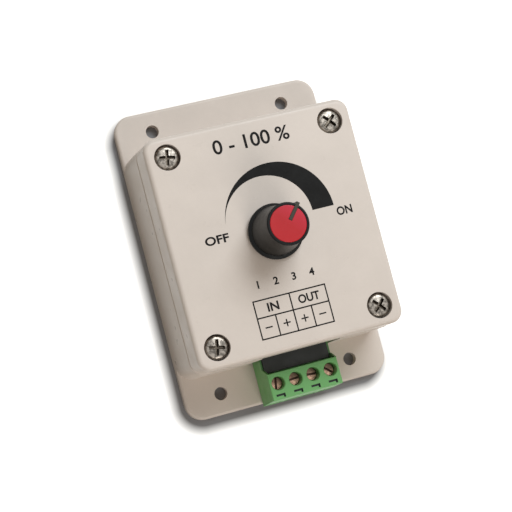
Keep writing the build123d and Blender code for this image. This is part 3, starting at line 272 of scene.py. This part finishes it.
class Finish:
    """A node material with a principled shader and short calls for the nodes that feed it."""

    def __init__(self, name):
        self.material = bpy.data.materials.new(name)
        self.material.use_nodes = True
        self.tree = self.material.node_tree
        self.shader = next(n for n in self.tree.nodes if n.type == "BSDF_PRINCIPLED")
        self.place = self.tree.nodes.new("ShaderNodeTexCoord").outputs["Object"]

    def node(self, kind, **settings):
        """New node with its own settings."""
        made = self.tree.nodes.new(kind)
        for name, value in settings.items():
            setattr(made, name, value)
        return made

    def wire(self, source, target):
        """Link from an output to an input."""
        self.tree.links.new(source, target)

    def constant(self, socket, value):
        """Fixed value on one of the shader's own sockets."""
        self.shader.inputs[socket].default_value = value

    def shifted(self, centre=(0, 0, 0), turn=(0, 0, 0), scale=(1, 1, 1)):
        """Object coordinates measured from a centre, in metres, then turned and scaled."""
        moved = self.node("ShaderNodeMapping", vector_type="TEXTURE")
        moved.inputs["Location"].default_value = centre
        moved.inputs["Rotation"].default_value = turn
        moved.inputs["Scale"].default_value = scale
        self.wire(self.place, moved.inputs["Vector"])
        return moved.outputs["Vector"]

    def noise(self, cell, detail=2.0, vector=None):
        """Cloud noise whose cells measure so many metres."""
        made = self.node("ShaderNodeTexNoise")
        made.inputs["Scale"].default_value = 1 / cell
        made.inputs["Detail"].default_value = detail
        self.wire(vector or self.place, made.inputs["Vector"])
        return made.outputs["Fac"]

    def spread(self, value, low, high, start=0.3, end=0.7):
        """Value remapped from start..end to low..high."""
        made = self.node("ShaderNodeMapRange", clamp=True)
        ends = {"From Min": start, "From Max": end, "To Min": low, "To Max": high}
        for socket, number in ends.items():
            made.inputs[socket].default_value = number
        self.wire(value, made.inputs["Value"])
        return made.outputs["Result"]

    def blend(self, factor, first, second):
        """Colour between two colours or sockets, by a factor."""
        made = self.node("ShaderNodeMix", data_type="RGBA")
        self.wire(factor, made.inputs["Factor"])
        for socket, value in ((made.inputs[6], first), (made.inputs[7], second)):
            if isinstance(value, bpy.types.NodeSocket):
                self.wire(value, socket)
            else:
                socket.default_value = (*value, 1)
        return made.outputs[2]

    def maths(self, operation, first, second=0.0):
        """Result of one arithmetic step on sockets or numbers."""
        made = self.node("ShaderNodeMath", operation=operation)
        for socket, value in zip(made.inputs, (first, second)):
            if isinstance(value, bpy.types.NodeSocket):
                self.wire(value, socket)
            else:
                socket.default_value = value
        return made.outputs["Value"]

    def axis(self, vector, name):
        """One coordinate of a vector."""
        made = self.node("ShaderNodeSeparateXYZ")
        self.wire(vector, made.inputs["Vector"])
        return made.outputs[name]

    def rounded(self, radius):
        """Normal that looks as if edges had a small radius."""
        made = self.node("ShaderNodeBevel", samples=6)
        made.inputs["Radius"].default_value = radius
        return made.outputs["Normal"]

    def relief(self, height, depth, under=None, strength=1.0):
        """Bump of a height field, in metres, on top of another normal."""
        made = self.node("ShaderNodeBump")
        made.inputs["Strength"].default_value = strength
        made.inputs["Distance"].default_value = depth
        self.wire(height, made.inputs["Height"])
        if under is not None:
            self.wire(under, made.inputs["Normal"])
        return made.outputs["Normal"]

    def colour(self, source):
        """Feeds the base colour."""
        self.wire(source, self.shader.inputs["Base Color"])

    def tint(self, factor, colour):
        """Lays a colour over the base colour by a factor."""
        source = self.shader.inputs["Base Color"].links[0].from_socket
        self.colour(self.blend(factor, source, colour))

    def normal(self, source):
        """Feeds the normal."""
        self.wire(source, self.shader.inputs["Normal"])

    def roughness(self, source):
        """Feeds the roughness."""
        self.wire(source, self.shader.inputs["Roughness"])


def shade(colour, factor):
    """Colour made darker or lighter by a factor."""
    return tuple(min(1.0, factor * part) for part in colour)


def moulded(name, colour, grain=0.35 * MM, depth=0.012 * MM, rough=(0.42, 0.56), uneven=0.05):
    """Moulded plastic: grain as bump, faint clouding of colour and gloss, eased edges."""
    finish = Finish(name)
    clouds = finish.spread(finish.noise(9 * MM, 3.0), 0.0, 1.0)
    flecks = finish.spread(finish.noise(1.1 * MM, 2.0), 0.0, 1.0, 0.25, 0.75)
    wide = finish.blend(clouds, shade(colour, 1 - uneven), shade(colour, 1 + uneven))
    finish.colour(finish.blend(finish.maths("MULTIPLY", flecks, 0.12), wide, shade(colour, 0.86)))
    finish.roughness(finish.spread(finish.noise(4 * MM, 3.0), rough[0], rough[1]))
    finish.normal(finish.relief(finish.noise(grain, 2.0), depth, finish.rounded(PLASTIC_EDGE)))
    return finish


def metal(name, colour, rough=(0.22, 0.4), grain=0.5 * MM, depth=0.006 * MM):
    """Plated or cast metal: uneven gloss, fine bump and eased edges."""
    finish = Finish(name)
    finish.constant("Metallic", 1.0)
    clouds = finish.spread(finish.noise(1.6 * MM, 4.0), 0.0, 1.0)
    finish.colour(finish.blend(clouds, shade(colour, 0.8), colour))
    finish.roughness(finish.spread(finish.noise(0.8 * MM, 3.0), rough[0], rough[1]))
    finish.normal(finish.relief(finish.noise(grain, 3.0), depth, finish.rounded(METAL_EDGE)))
    return finish


def turned(name, colour, centre, pitch=0.22 * MM):
    """Turned metal: fine rings about a vertical axis over the plated finish."""
    finish = metal(name, colour, rough=(0.24, 0.42))
    rings = finish.node("ShaderNodeTexWave", wave_type="RINGS", rings_direction="Z")
    rings.inputs["Scale"].default_value = RING_SCALE / pitch
    rings.inputs["Distortion"].default_value = 0.6
    finish.wire(finish.shifted(centre), rings.inputs["Vector"])
    edges = finish.rounded(METAL_EDGE)
    finish.normal(finish.relief(rings.outputs["Fac"], RING_DEPTH, edges, RING_STRENGTH))
    return finish


def recess(finish, name, radius, deep, display):
    """Paints shade into a screw's recess, which lies inside a radius about the screw's own axis.

    The painted shade comes in from a tenth of the given depth under the head's top to half of it.
    """
    vector = finish.shifted(middle(name))
    parts = [finish.axis(vector, axis) for axis in "XY"]
    squares = [finish.maths("MULTIPLY", part, part) for part in parts]
    near = finish.maths("LESS_THAN", finish.maths("ADD", *squares), radius**2)
    depth = finish.maths("SUBTRACT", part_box(name)[1].z, finish.axis(finish.place, "Z"))
    fade = finish.spread(depth, 0.0, 1.0, 0.1 * deep, 0.5 * deep)
    # Painted shade: the recess is darkened as if the head shaded it
    finish.tint(finish.maths("MULTIPLY", fade, near), linear(*display))


def paint(name, finish):
    """Gives a CAD node its finish."""
    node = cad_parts[name]
    if not node.material_slots:
        node.data.materials.append(finish.material)
    for slot in node.material_slots:
        slot.material = finish.material


def middle(name):
    """Middle of a CAD node's box, in metres."""
    low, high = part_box(name)
    return (low + high) / 2


def settings():
    """The scene's colours, print and stage settings."""
    scene = bpy.context.scene
    return scene.dimmer_colours, scene.dimmer_print, scene.dimmer_stage


class DIMMER_OT_case(bpy.types.Operator):
    """Finish the moulded box and its lid"""

    bl_idname = "dimmer.case"
    bl_label = "Case and lid"

    def execute(self, context):
        colour = tuple(context.scene.dimmer_colours.case)
        for name, level in (("base_case", 0.16), ("lid", 0.3)):
            finish = moulded(f"{name}_plastic", colour, rough=(0.27, 0.4), uneven=0.025)
            finish.constant("Specular IOR Level", level)
            paint(name, finish)
        return {"FINISHED"}


class DIMMER_OT_lid_screws(bpy.types.Operator):
    """Finish the four lid screws with blotches of painted reflection, painted shade in their cross
    recesses and turning rings about their own axes
    """

    bl_idname = "dimmer.lid_screws"
    bl_label = "Lid screws"

    def execute(self, context):
        colour = tuple(context.scene.dimmer_colours.nickel)
        for number in NUMBERS:
            name = f"lid_screw_{number}"
            finish = turned(f"{name}_nickel", colour, middle(name))
            # Painted reflection: dark blotches over the nickel stand for the uneven reflections of
            # a bright head
            reflection_blotches = finish.spread(finish.noise(0.9 * MM, 3.0), 0.0, 1.0, 0.42, 0.58)
            finish.colour(finish.blend(reflection_blotches, shade(colour, 0.4), colour))
            recess(finish, name, *CROSS_RECESS_SHADE)
            paint(name, finish)
        return {"FINISHED"}


class DIMMER_OT_knob(bpy.types.Operator):
    """Finish the knob and its cap"""

    bl_idname = "dimmer.knob"
    bl_label = "Knob"

    def execute(self, context):
        colours = context.scene.dimmer_colours
        body = moulded("knob_plastic", tuple(colours.knob), rough=(0.28, 0.4), depth=0.006 * MM)
        body.constant("Specular IOR Level", 0.16)
        bar_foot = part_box("knob_body")[1].z - POINTER_DROP
        proud = body.maths("GREATER_THAN", body.axis(body.place, "Z"), bar_foot)
        body.tint(proud, linear(*POINTER_TINT))
        paint("knob_body", body)
        cap = moulded("cap_plastic", tuple(colours.cap), rough=(0.26, 0.36), depth=0.006 * MM)
        cap.constant("Specular IOR Level", 0.35)
        # Painted sheen: one side of the cap is tinted rosy as if it caught a reflection
        across = cap.axis(cap.shifted(middle("knob_cap"), (0, 0, CAP_SHEEN_TURN)), "X")
        cap.tint(cap.spread(across, 0.0, CAP_SHEEN_SHARE, 0.0, CAP_SHEEN_REACH), linear(*CAP_SHEEN))
        paint("knob_cap", cap)
        return {"FINISHED"}


class DIMMER_OT_potentiometer(bpy.types.Operator):
    """Finish the potentiometer and its wires"""

    bl_idname = "dimmer.potentiometer"
    bl_label = "Potentiometer"

    def execute(self, context):
        colours = context.scene.dimmer_colours
        zinc = metal(
            "zinc_casting",
            tuple(colours.zinc),
            rough=(0.38, 0.55),
            grain=0.3 * MM,
            depth=0.012 * MM,
        )
        plate = metal("plated_sheet", tuple(colours.nickel), rough=(0.25, 0.38))
        for name in ("pot_frame", "pot_shaft"):
            paint(name, zinc)
        for name in ("pot_nut", "pot_washer", "pot_case"):
            paint(name, plate)
        paint("pot_wiper", moulded("wiper_plastic", tuple(colours.epoxy)))
        track = moulded(
            "phenolic_board",
            tuple(colours.phenolic),
            grain=0.2 * MM,
            depth=0.01 * MM,
            rough=(0.5, 0.7),
        )
        paint("pot_track", track)
        paint("pot_lugs", metal("tinned_lugs", tuple(colours.tin)))
        for number, display in enumerate(WIRE_COLOURS):
            name = f"pot_wire_{number + 1}"
            cover = moulded(
                f"{name}_cover",
                linear(*display),
                grain=0.5 * MM,
                depth=0.01 * MM,
                rough=(0.3, 0.42),
            )
            paint(name, cover)
        return {"FINISHED"}


class DIMMER_OT_terminal(bpy.types.Operator):
    """Finish the plug, its screws, clamps and contacts, and the header"""

    bl_idname = "dimmer.terminal"
    bl_label = "Screw terminal"

    def execute(self, context):
        colours = context.scene.dimmer_colours
        paint("plug_housing", self.plug_plastic(colours))
        header = moulded(
            "header_plastic",
            tuple(colours.header),
            grain=0.4 * MM,
            depth=0.01 * MM,
            rough=(0.4, 0.55),
        )
        paint("header_housing", header)
        clamp = metal("clamp_plating", tuple(colours.nickel), rough=(0.3, 0.5))
        tin = metal("tinned_contact", tuple(colours.tin), rough=(0.25, 0.4))
        for number in NUMBERS:
            screw = f"plug_screw_{number}"
            paint(screw, self.slotted(screw, tuple(colours.brass)))
            paint(f"plug_clamp_{number}", clamp)
            paint(f"plug_contact_{number}", tin)
            paint(f"header_pin_{number}", tin)
        return {"FINISHED"}

    def slotted(self, name, colour):
        """Dull screw head with blotches of painted reflection, painted shade on one side from its
        well, and painted shade down in its slot.
        """
        centre = middle(name)
        finish = turned(f"{name}_plating", colour, centre, pitch=0.3 * MM)
        # Painted reflection: dark blotches over the plating stand for uneven reflections
        reflection_blotches = finish.spread(finish.noise(0.7 * MM, 3.0), 0.0, 1.0, 0.4, 0.6)
        painted_reflection = finish.blend(reflection_blotches, shade(colour, 0.55), colour)
        # Painted shade: the head darkens towards +Y as if its well shaded that side
        across = finish.axis(finish.shifted(centre), "Y")
        painted_well_shade = finish.spread(across, 0.0, WELL_PAINTED_SHADE_SHARE, *WELL_PAINTED_SHADE)
        finish.colour(finish.blend(painted_well_shade, painted_reflection, shade(colour, 0.2)))
        recess(finish, name, *SLOT_RECESS_SHADE)
        return finish

    def plug_plastic(self, colours):
        """Green moulding with painted shade over the wire mark under each well, laid a little
        wider than the mark's grooves.

        A mark is a bar and a hook, each given by a box: its middle across the pole and along Y,
        and its half sizes. The place along the plug is folded to one pitch, so that the same two
        boxes serve all poles.
        """
        finish = moulded(
            "terminal_plastic",
            tuple(colours.terminal),
            grain=0.4 * MM,
            depth=0.01 * MM,
            rough=(0.38, 0.52),
        )
        pitch = middle("plug_screw_2").x - middle("plug_screw_1").x
        first = middle("plug_screw_1").x - pitch / 2
        x_place, y_place, z_place = (finish.axis(finish.place, name) for name in "XYZ")
        along = finish.maths("MODULO", finish.maths("SUBTRACT", x_place, first), pitch)
        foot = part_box("plug_housing")[1].z - MARK_DROP
        mark_shade = 0.0
        for x, y, half_x, half_y in MARK_BOXES:
            off_x = finish.maths("ABSOLUTE", finish.maths("SUBTRACT", along, pitch / 2 + x * MM))
            off_y = finish.maths("ABSOLUTE", finish.maths("SUBTRACT", y_place, y * MM))
            inside_x = finish.maths("LESS_THAN", off_x, half_x * MM)
            inside_y = finish.maths("LESS_THAN", off_y, half_y * MM)
            inside = finish.maths("MULTIPLY", inside_x, inside_y)
            mark_shade = finish.maths("MAXIMUM", mark_shade, inside)
        level = finish.maths("GREATER_THAN", z_place, foot)
        # Painted shade: the mark's grooves and a little around them are darkened near the top face
        finish.tint(finish.maths("MULTIPLY", mark_shade, level), linear(*MARK_SHADE))
        return finish


def leaded(name, body, reach, axis, tin, centre):
    """Body colour near the centre and tinned metal beyond a reach along one axis.

    It gives the finish and the coordinates measured from the centre.
    """
    finish = moulded(name, body, grain=0.3 * MM, depth=0.008 * MM, rough=(0.35, 0.5))
    vector = finish.shifted(centre)
    across = finish.maths("ABSOLUTE", finish.axis(vector, axis))
    lead = finish.maths("GREATER_THAN", across, reach)
    finish.tint(lead, tin)
    finish.wire(lead, finish.shader.inputs["Metallic"])
    return finish, vector


def band(finish, vector, axis, start, end, display):
    """Painted ring between two places along an axis."""
    place = finish.axis(vector, axis)
    after = finish.maths("GREATER_THAN", place, start)
    before = finish.maths("LESS_THAN", place, end)
    finish.tint(finish.maths("MULTIPLY", after, before), linear(*display))


class DIMMER_OT_board(bpy.types.Operator):
    """Finish the circuit board and what stands on it"""

    bl_idname = "dimmer.board"
    bl_label = "Circuit board"

    def execute(self, context):
        colours = context.scene.dimmer_colours
        tin = tuple(colours.tin)
        epoxy = tuple(colours.epoxy)
        lacquer = tuple(colours.lacquer)
        paint("circuit_board", self.solder_mask(tuple(colours.mask)))
        screws = metal("board_screw_plating", tuple(colours.nickel))
        for number in NUMBERS:
            paint(f"board_screw_{number}", screws)
        paint("transistor_tab", metal("transistor_plate", tin, rough=(0.3, 0.45)))
        paint("transistor_legs", metal("transistor_leg_tin", tin))
        body = moulded(
            "transistor_epoxy", epoxy, grain=0.25 * MM, depth=0.01 * MM, rough=(0.5, 0.65)
        )
        paint("transistor_body", body)
        chip, _ = leaded("chip_epoxy", epoxy, CHIP_REACH, "Y", tin, middle("timer_chip"))
        paint("timer_chip", chip)
        for number in (1, 2):
            name = f"diode_{number}"
            centre = middle(name)
            diode, vector = leaded(f"{name}_epoxy", epoxy, DIODE_REACH, "X", tin, centre)
            band(diode, vector, "X", 1.2 * MM, 1.9 * MM, DIODE_RING)
            paint(name, diode)
        for number in (1, 2, 3):
            name = f"resistor_{number}"
            centre = middle(name)
            resistor, vector = leaded(f"{name}_lacquer", lacquer, RESISTOR_REACH, "X", tin, centre)
            for step, display in enumerate(RESISTOR_RINGS):
                start = (-2.2 + 1.2 * step) * MM
                band(resistor, vector, "X", start, start + 0.5 * MM, display)
            paint(name, resistor)
        paint("ceramic_capacitor", moulded("disc_lacquer", lacquer, rough=(0.3, 0.4)))
        paint("supply_capacitor", self.sleeve(tuple(colours.sleeve), tin))
        return {"FINISHED"}

    def solder_mask(self, colour):
        """Green board lacquer with lighter tracks in the pattern of a brick wall."""
        finish = moulded(
            "solder_mask", colour, grain=0.6 * MM, depth=0.006 * MM, rough=(0.22, 0.34)
        )
        tracks = finish.node("ShaderNodeTexBrick")
        for socket, value in TRACK_PATTERN.items():
            tracks.inputs[socket].default_value = value
        finish.wire(finish.place, tracks.inputs["Vector"])
        finish.tint(tracks.outputs["Fac"], shade(colour, 1.5))
        return finish

    def sleeve(self, colour, tin):
        """Capacitor sleeve with a pale polarity stripe and a bare metal top."""
        finish = moulded(
            "capacitor_sleeve", colour, grain=0.5 * MM, depth=0.006 * MM, rough=(0.25, 0.35)
        )
        vector = finish.shifted(middle("supply_capacitor"))
        band(finish, vector, "Y", -9 * MM, -4.2 * MM, SLEEVE_STRIPE)
        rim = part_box("supply_capacitor")[1].z - 0.2 * MM
        bare = finish.maths("GREATER_THAN", finish.axis(finish.place, "Z"), rim)
        finish.tint(bare, tin)
        finish.wire(bare, finish.shader.inputs["Metallic"])
        return finish


def ink(name, colour):
    """Printing ink: slightly uneven black, duller than the plastic."""
    finish = Finish(name)
    density = finish.spread(finish.noise(0.5 * MM, 4.0), 0.0, 1.0, 0.35, 0.65)
    finish.colour(finish.blend(density, shade(colour, 1.25), colour))
    finish.roughness(finish.spread(finish.noise(2 * MM, 2.0), 0.5, 0.65))
    finish.normal(finish.relief(finish.noise(0.3 * MM, 2.0), 0.006 * MM))
    finish.constant("Specular IOR Level", 0.12)
    return finish


def add_ink(name, mesh, finish):
    """Puts a closed mesh into the scene as print that rides on the case."""
    fix_normals(mesh)
    mesh.materials.clear()
    mesh.materials.append(finish.material)
    piece = bpy.data.objects.new(name, mesh)
    bpy.context.scene.collection.objects.link(piece)
    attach(piece, "case")


def ink_band(name, first, second, finish, height):
    """Flat band of ink between two edges.

    Each edge is a run of points across the lid. At every step the section is a rectangle from
    the first edge to the second, and from the ink's height under the lid's face to the same
    height over it. The sections are joined in order, with a cap at each end.
    """
    low = np.full(len(first), LID_TOP - height)
    high = np.full(len(first), LID_TOP + height)
    corners = (
        np.column_stack((first * MM, low)),
        np.column_stack((second * MM, low)),
        np.column_stack((second * MM, high)),
        np.column_stack((first * MM, high)),
    )
    points = np.stack(corners, axis=1).reshape(-1, 3)
    here = np.arange(len(first) - 1)[:, None] * 4 + np.arange(4)
    turned_here = np.roll(here, -1, axis=1)
    quads = np.stack((here, here + 4, turned_here + 4, turned_here), axis=2).reshape(-1, 4)
    last = 4 * (len(first) - 1)
    faces = quads.tolist() + [[0, 1, 2, 3], [last + 3, last + 2, last + 1, last]]
    mesh = bpy.data.meshes.new(name)
    mesh.from_pydata(points.tolist(), [], faces)
    mesh.update()
    add_ink(name, mesh, finish)


def fix_normals(mesh):
    """Turns a closed mesh's faces outwards."""
    work = bmesh.new()
    work.from_mesh(mesh)
    bmesh.ops.remove_doubles(work, verts=work.verts, dist=0.0005 * MM)
    bmesh.ops.recalc_face_normals(work, faces=work.faces)
    work.to_mesh(mesh)
    work.free()


def lettering(name, text, size, place, weight, finish, ink_height):
    """Line of text on the lid, centred on a place on its baseline.

    The font's outline is scaled to the width and height in size, and a width of zero leaves its
    own proportions. Its depth runs from the ink's height under the lid's face to the same over it.
    """
    curve = bpy.data.curves.new(name, "FONT")
    curve.body = text
    curve.size = 1.0
    curve.extrude = 0.5
    curve.offset = weight
    curve.resolution_u = 6
    source = bpy.data.objects.new(name + "_source", curve)
    bpy.context.scene.collection.objects.link(source)
    bpy.context.view_layer.update()
    evaluated = source.evaluated_get(bpy.context.evaluated_depsgraph_get())
    mesh = bpy.data.meshes.new_from_object(evaluated)
    bpy.data.objects.remove(source)
    points = np.zeros(3 * len(mesh.vertices))
    mesh.vertices.foreach_get("co", points)
    points = points.reshape(-1, 3)
    low = points.min(axis=0)
    high = points.max(axis=0)
    tall = size[1] / (high[1] - low[1])
    wide = size[0] / (high[0] - low[0]) if size[0] else tall
    placed = np.column_stack(
        (
            (place[0] + (points[:, 0] - (low[0] + high[0]) / 2) * wide) * MM,
            (place[1] + (points[:, 1] - low[1]) * tall) * MM,
            LID_TOP + 2 * points[:, 2] * ink_height * MM,
        )
    )
    mesh.vertices.foreach_set("co", placed.ravel())
    mesh.update()
    mesh.name = name
    add_ink(name, mesh, finish)


class DIMMER_OT_print(bpy.types.Operator):
    """Print the lid: swelling arc, terminal table, words, figures and signs"""

    bl_idname = "dimmer.print"
    bl_label = "Lid print"

    def execute(self, context):
        layout = context.scene.dimmer_print
        finish = ink("lid_ink", tuple(context.scene.dimmer_colours.ink))
        depth = layout.ink_height * MM
        self.swelling_arc(layout, finish, depth)
        self.table(layout, finish, depth)
        self.words(layout, finish)
        self.signs(layout, finish, depth)
        return {"FINISHED"}

    def swelling_arc(self, layout, finish, depth):
        """Band between two circles that meet on the left, so that it swells to the right.

        Both edges are centre + radius * (cos a, sin a), with a from 0 to the sweep.
        """
        angle = np.linspace(0.0, ARC_SWEEP, ARC_POINTS)
        ring = np.column_stack((np.cos(angle), np.sin(angle)))
        inner = np.array(layout.swell_inner) + layout.swell_inner_r * ring
        outer = np.array(layout.swell_outer) + layout.swell_outer_r * ring
        ink_band("print_arc", inner, outer, finish, depth)

    def table(self, layout, finish, depth):
        """Frame, middle line and column lines as straight bands."""
        left, low = layout.table_low
        right, high = layout.table_high
        column = (right - left) / 4
        across = ((left, right, low), (left, right, layout.table_middle), (left, right, high))
        up = (
            (left, low, high),
            (right, low, high),
            (left + 2 * column, low, high),
            (left + column, low, layout.table_middle),
            (left + 3 * column, low, layout.table_middle),
        )
        half = layout.line / 2
        for number, (start, end, place) in enumerate(across):
            first = np.array(((start - half, place - half), (end + half, place - half)))
            second = first + (0, layout.line)
            ink_band(f"print_row_{number + 1}", first, second, finish, depth)
        for number, (place, start, end) in enumerate(up):
            first = np.array(((place - half, start), (place - half, end)))
            second = first + (layout.line, 0)
            name = f"print_column_{number + 1}"
            ink_band(name, first, second, finish, depth * CROSSING_SHARE)

    def words(self, layout, finish):
        """Generic words and figures in the places that the lid's print takes."""
        left = layout.table_low[0]
        right, high = layout.table_high
        column = (right - left) / 4
        height = layout.word_height
        weight = layout.word_weight
        base = (layout.table_middle + high - height) / 2
        title = (layout.title_width, layout.title_height)
        figure = (0.0, layout.figure_height)
        lines = [
            ("off", "OFF", (layout.off_width, height), layout.off_place, weight),
            ("on", "ON", (layout.on_width, height), layout.on_place, weight),
            ("in", "IN", (layout.in_width, height), (left + column, base), weight),
            ("out", "OUT", (layout.out_width, height), (right - column, base), weight),
            ("range", "0 - 100 %", title, layout.title_place, layout.title_weight),
        ]
        for number in NUMBERS:
            place = (left + (number - 0.5) * column, layout.figure_base)
            lines.append((f"pole_{number}", str(number), figure, place, weight))
        for name, text, size, place, growth in lines:
            lettering(f"print_{name}", text, size, place, growth, finish, layout.ink_height)

    def signs(self, layout, finish, depth):
        """Minus and plus signs as plain strokes, one in each lower cell of the table."""
        left, low = layout.table_low
        column = (layout.table_high[0] - left) / 4
        middle_y = (low + layout.table_middle) / 2
        long = layout.sign_size / 2
        half = layout.line / 2
        level = middle_y - half
        for number in NUMBERS:
            middle_x = left + (number - 0.5) * column
            first = np.array(((middle_x - long, level), (middle_x + long, level)))
            ink_band(f"print_stroke_{number}", first, first + (0, layout.line), finish, depth)
        for number in (2, 3):
            side = left + (number - 0.5) * column - half
            first = np.array(((side, middle_y - long), (side, middle_y + long)))
            second = first + (layout.line, 0)
            ink_band(f"print_upright_{number}", first, second, finish, depth * CROSSING_SHARE)


def lamp(name, power, place, size, colour):
    """Square area lamp that looks at the object."""
    data = bpy.data.lights.new(name, "AREA")
    data.size = size
    data.energy = power
    data.color = colour
    source = bpy.data.objects.new(name, data)
    turn = (Vector(LAMP_AIM) - Vector(place)).to_track_quat("-Z", "Y")
    source.matrix_world = Matrix.Translation(place) @ turn.to_matrix().to_4x4()
    bpy.context.scene.collection.objects.link(source)


def seen_rays(tree):
    """One for rays from the camera, a reflection or a transmission, and zero for light."""
    path = tree.nodes.new("ShaderNodeLightPath")
    seen = path.outputs["Is Camera Ray"]
    for kind in ("Is Glossy Ray", "Is Transmission Ray"):
        either = tree.nodes.new("ShaderNodeMath")
        either.operation = "MAXIMUM"
        tree.links.new(seen, either.inputs[0])
        tree.links.new(path.outputs[kind], either.inputs[1])
        seen = either.outputs["Value"]
    return seen


def camera_matrix(stage):
    """Camera place and turn from its aim, distance, two angles and roll.

    The roll starts from the turn at which the lid's +Y points up in the picture.
    """
    level = np.cos(stage.elevation)
    back = Vector(
        (
            level * np.cos(stage.azimuth),
            level * np.sin(stage.azimuth),
            np.sin(stage.elevation),
        )
    )
    forward = -back
    lid_up = Vector((0, 1, 0))
    lid_up = (lid_up - forward * lid_up.dot(forward)).normalized()
    side = forward.cross(lid_up)
    up = lid_up * np.cos(stage.roll) + side * np.sin(stage.roll)
    right = forward.cross(up)
    turn = Matrix((right, up, back)).transposed().to_4x4()
    return Matrix.Translation(Vector(stage.aim) + back * stage.distance) @ turn


class DIMMER_OT_stage(bpy.types.Operator):
    """Set the camera, lamps, floor and surroundings"""

    bl_idname = "dimmer.stage"
    bl_label = "Stage"

    def execute(self, context):
        stage = context.scene.dimmer_stage
        data = bpy.data.cameras.new("camera")
        data.lens = stage.lens
        data.sensor_width = 36.0
        camera = bpy.data.objects.new("camera", data)
        camera.matrix_world = camera_matrix(stage)
        context.scene.collection.objects.link(camera)
        context.scene.camera = camera
        lamp("key_lamp", stage.key_power, *KEY_LAMP)
        lamp("front_lamp", stage.fill_power, *FRONT_LAMP)
        self.surroundings(stage.sky)
        self.floor(stage.floor_glow)
        context.scene.view_settings.view_transform = "Standard"
        return {"FINISHED"}

    def surroundings(self, strength):
        """Even warm light, and plain white where a camera or a mirrored ray passes the floor."""
        world = bpy.data.worlds.new("studio")
        bpy.context.scene.world = world
        world.use_nodes = True
        tree = world.node_tree
        background = tree.nodes["Background"]
        seen = seen_rays(tree)
        white = tree.nodes.new("ShaderNodeMix")
        white.data_type = "RGBA"
        white.inputs[6].default_value = (*SKY_COLOUR, 1)
        white.inputs[7].default_value = (1, 1, 1, 1)
        tree.links.new(seen, white.inputs["Factor"])
        tree.links.new(white.outputs[2], background.inputs["Color"])
        level = tree.nodes.new("ShaderNodeMapRange")
        level.inputs["To Min"].default_value = strength
        level.inputs["To Max"].default_value = 1.0
        tree.links.new(seen, level.inputs["Value"])
        tree.links.new(level.outputs["Result"], background.inputs["Strength"])

    def floor(self, glow):
        """Large floor that looks white, apart from the object's shadow close to the object, where
        its colour is also darker as painted shade.

        With a = |place| - (half size - corner) on each axis, the length of max(a, 0) is the
        distance that tells where the white comes in.
        """
        half = FLOOR_REACH
        mesh = bpy.data.meshes.new("floor")
        corners = [(-half, -half, 0), (half, -half, 0), (half, half, 0), (-half, half, 0)]
        mesh.from_pydata(corners, [], [(0, 1, 2, 3)])
        floor = bpy.data.objects.new("floor", mesh)
        bpy.context.scene.collection.objects.link(floor)
        finish = Finish("floor_white")
        finish.constant("Roughness", 0.9)
        finish.constant("Emission Color", (1, 1, 1, 1))
        place = finish.shifted(SHADOW_MIDDLE)
        squares = []
        for name, reach in zip("XY", SHADOW_HALF):
            across = finish.maths("ABSOLUTE", finish.axis(place, name))
            past = finish.maths("SUBTRACT", across, reach - SHADOW_CORNER)
            beyond = finish.maths("MAXIMUM", past, 0.0)
            squares.append(finish.maths("MULTIPLY", beyond, beyond))
        distance = finish.maths("SQRT", finish.maths("ADD", *squares))
        fade = (SHADOW_CORNER + end for end in SHADOW_FADE)
        outside = finish.spread(distance, 0.0, 1.0, *fade)
        # Painted shade: the floor's own colour is darker under and close to the object
        finish.colour(finish.blend(outside, FLOOR_PAINTED_SHADE, FLOOR_FAR))
        white = finish.maths("MULTIPLY", outside, glow)
        light = finish.maths("MULTIPLY", seen_rays(finish.tree), white)
        finish.wire(light, finish.shader.inputs["Emission Strength"])
        mesh.materials.append(finish.material)


class DIMMER_PT_panel(bpy.types.Panel):
    """Dimmer tools in the 3D view's sidebar"""

    bl_label = "Dimmer box"
    bl_idname = "DIMMER_PT_panel"
    bl_space_type = "VIEW_3D"
    bl_region_type = "UI"
    bl_category = "Dimmer"

    def draw(self, context):
        for operator in OPERATORS:
            self.layout.operator(operator.bl_idname)
        for group in settings():
            box = self.layout.box()
            for name in group.__annotations__:
                box.prop(group, name)


OPERATORS = (
    DIMMER_OT_stage,
    DIMMER_OT_case,
    DIMMER_OT_lid_screws,
    DIMMER_OT_knob,
    DIMMER_OT_potentiometer,
    DIMMER_OT_terminal,
    DIMMER_OT_board,
    DIMMER_OT_print,
)
CLASSES = (DimmerColours, DimmerPrint, DimmerStage, *OPERATORS, DIMMER_PT_panel)


def register():
    """Adds the classes and the scene's settings."""
    for made in CLASSES:
        bpy.utils.register_class(made)
    bpy.types.Scene.dimmer_colours = PointerProperty(type=DimmerColours)
    bpy.types.Scene.dimmer_print = PointerProperty(type=DimmerPrint)
    bpy.types.Scene.dimmer_stage = PointerProperty(type=DimmerStage)


def unregister():
    """Takes the settings and the classes away again."""
    del bpy.types.Scene.dimmer_stage
    del bpy.types.Scene.dimmer_print
    del bpy.types.Scene.dimmer_colours
    for made in reversed(CLASSES):
        bpy.utils.unregister_class(made)


def main():
    """Builds the looks."""
    register()
    bpy.ops.dimmer.stage()
    bpy.ops.dimmer.case()
    bpy.ops.dimmer.lid_screws()
    bpy.ops.dimmer.knob()
    bpy.ops.dimmer.potentiometer()
    bpy.ops.dimmer.terminal()
    bpy.ops.dimmer.board()
    bpy.ops.dimmer.print()


if __name__ == "__main__":
    main()
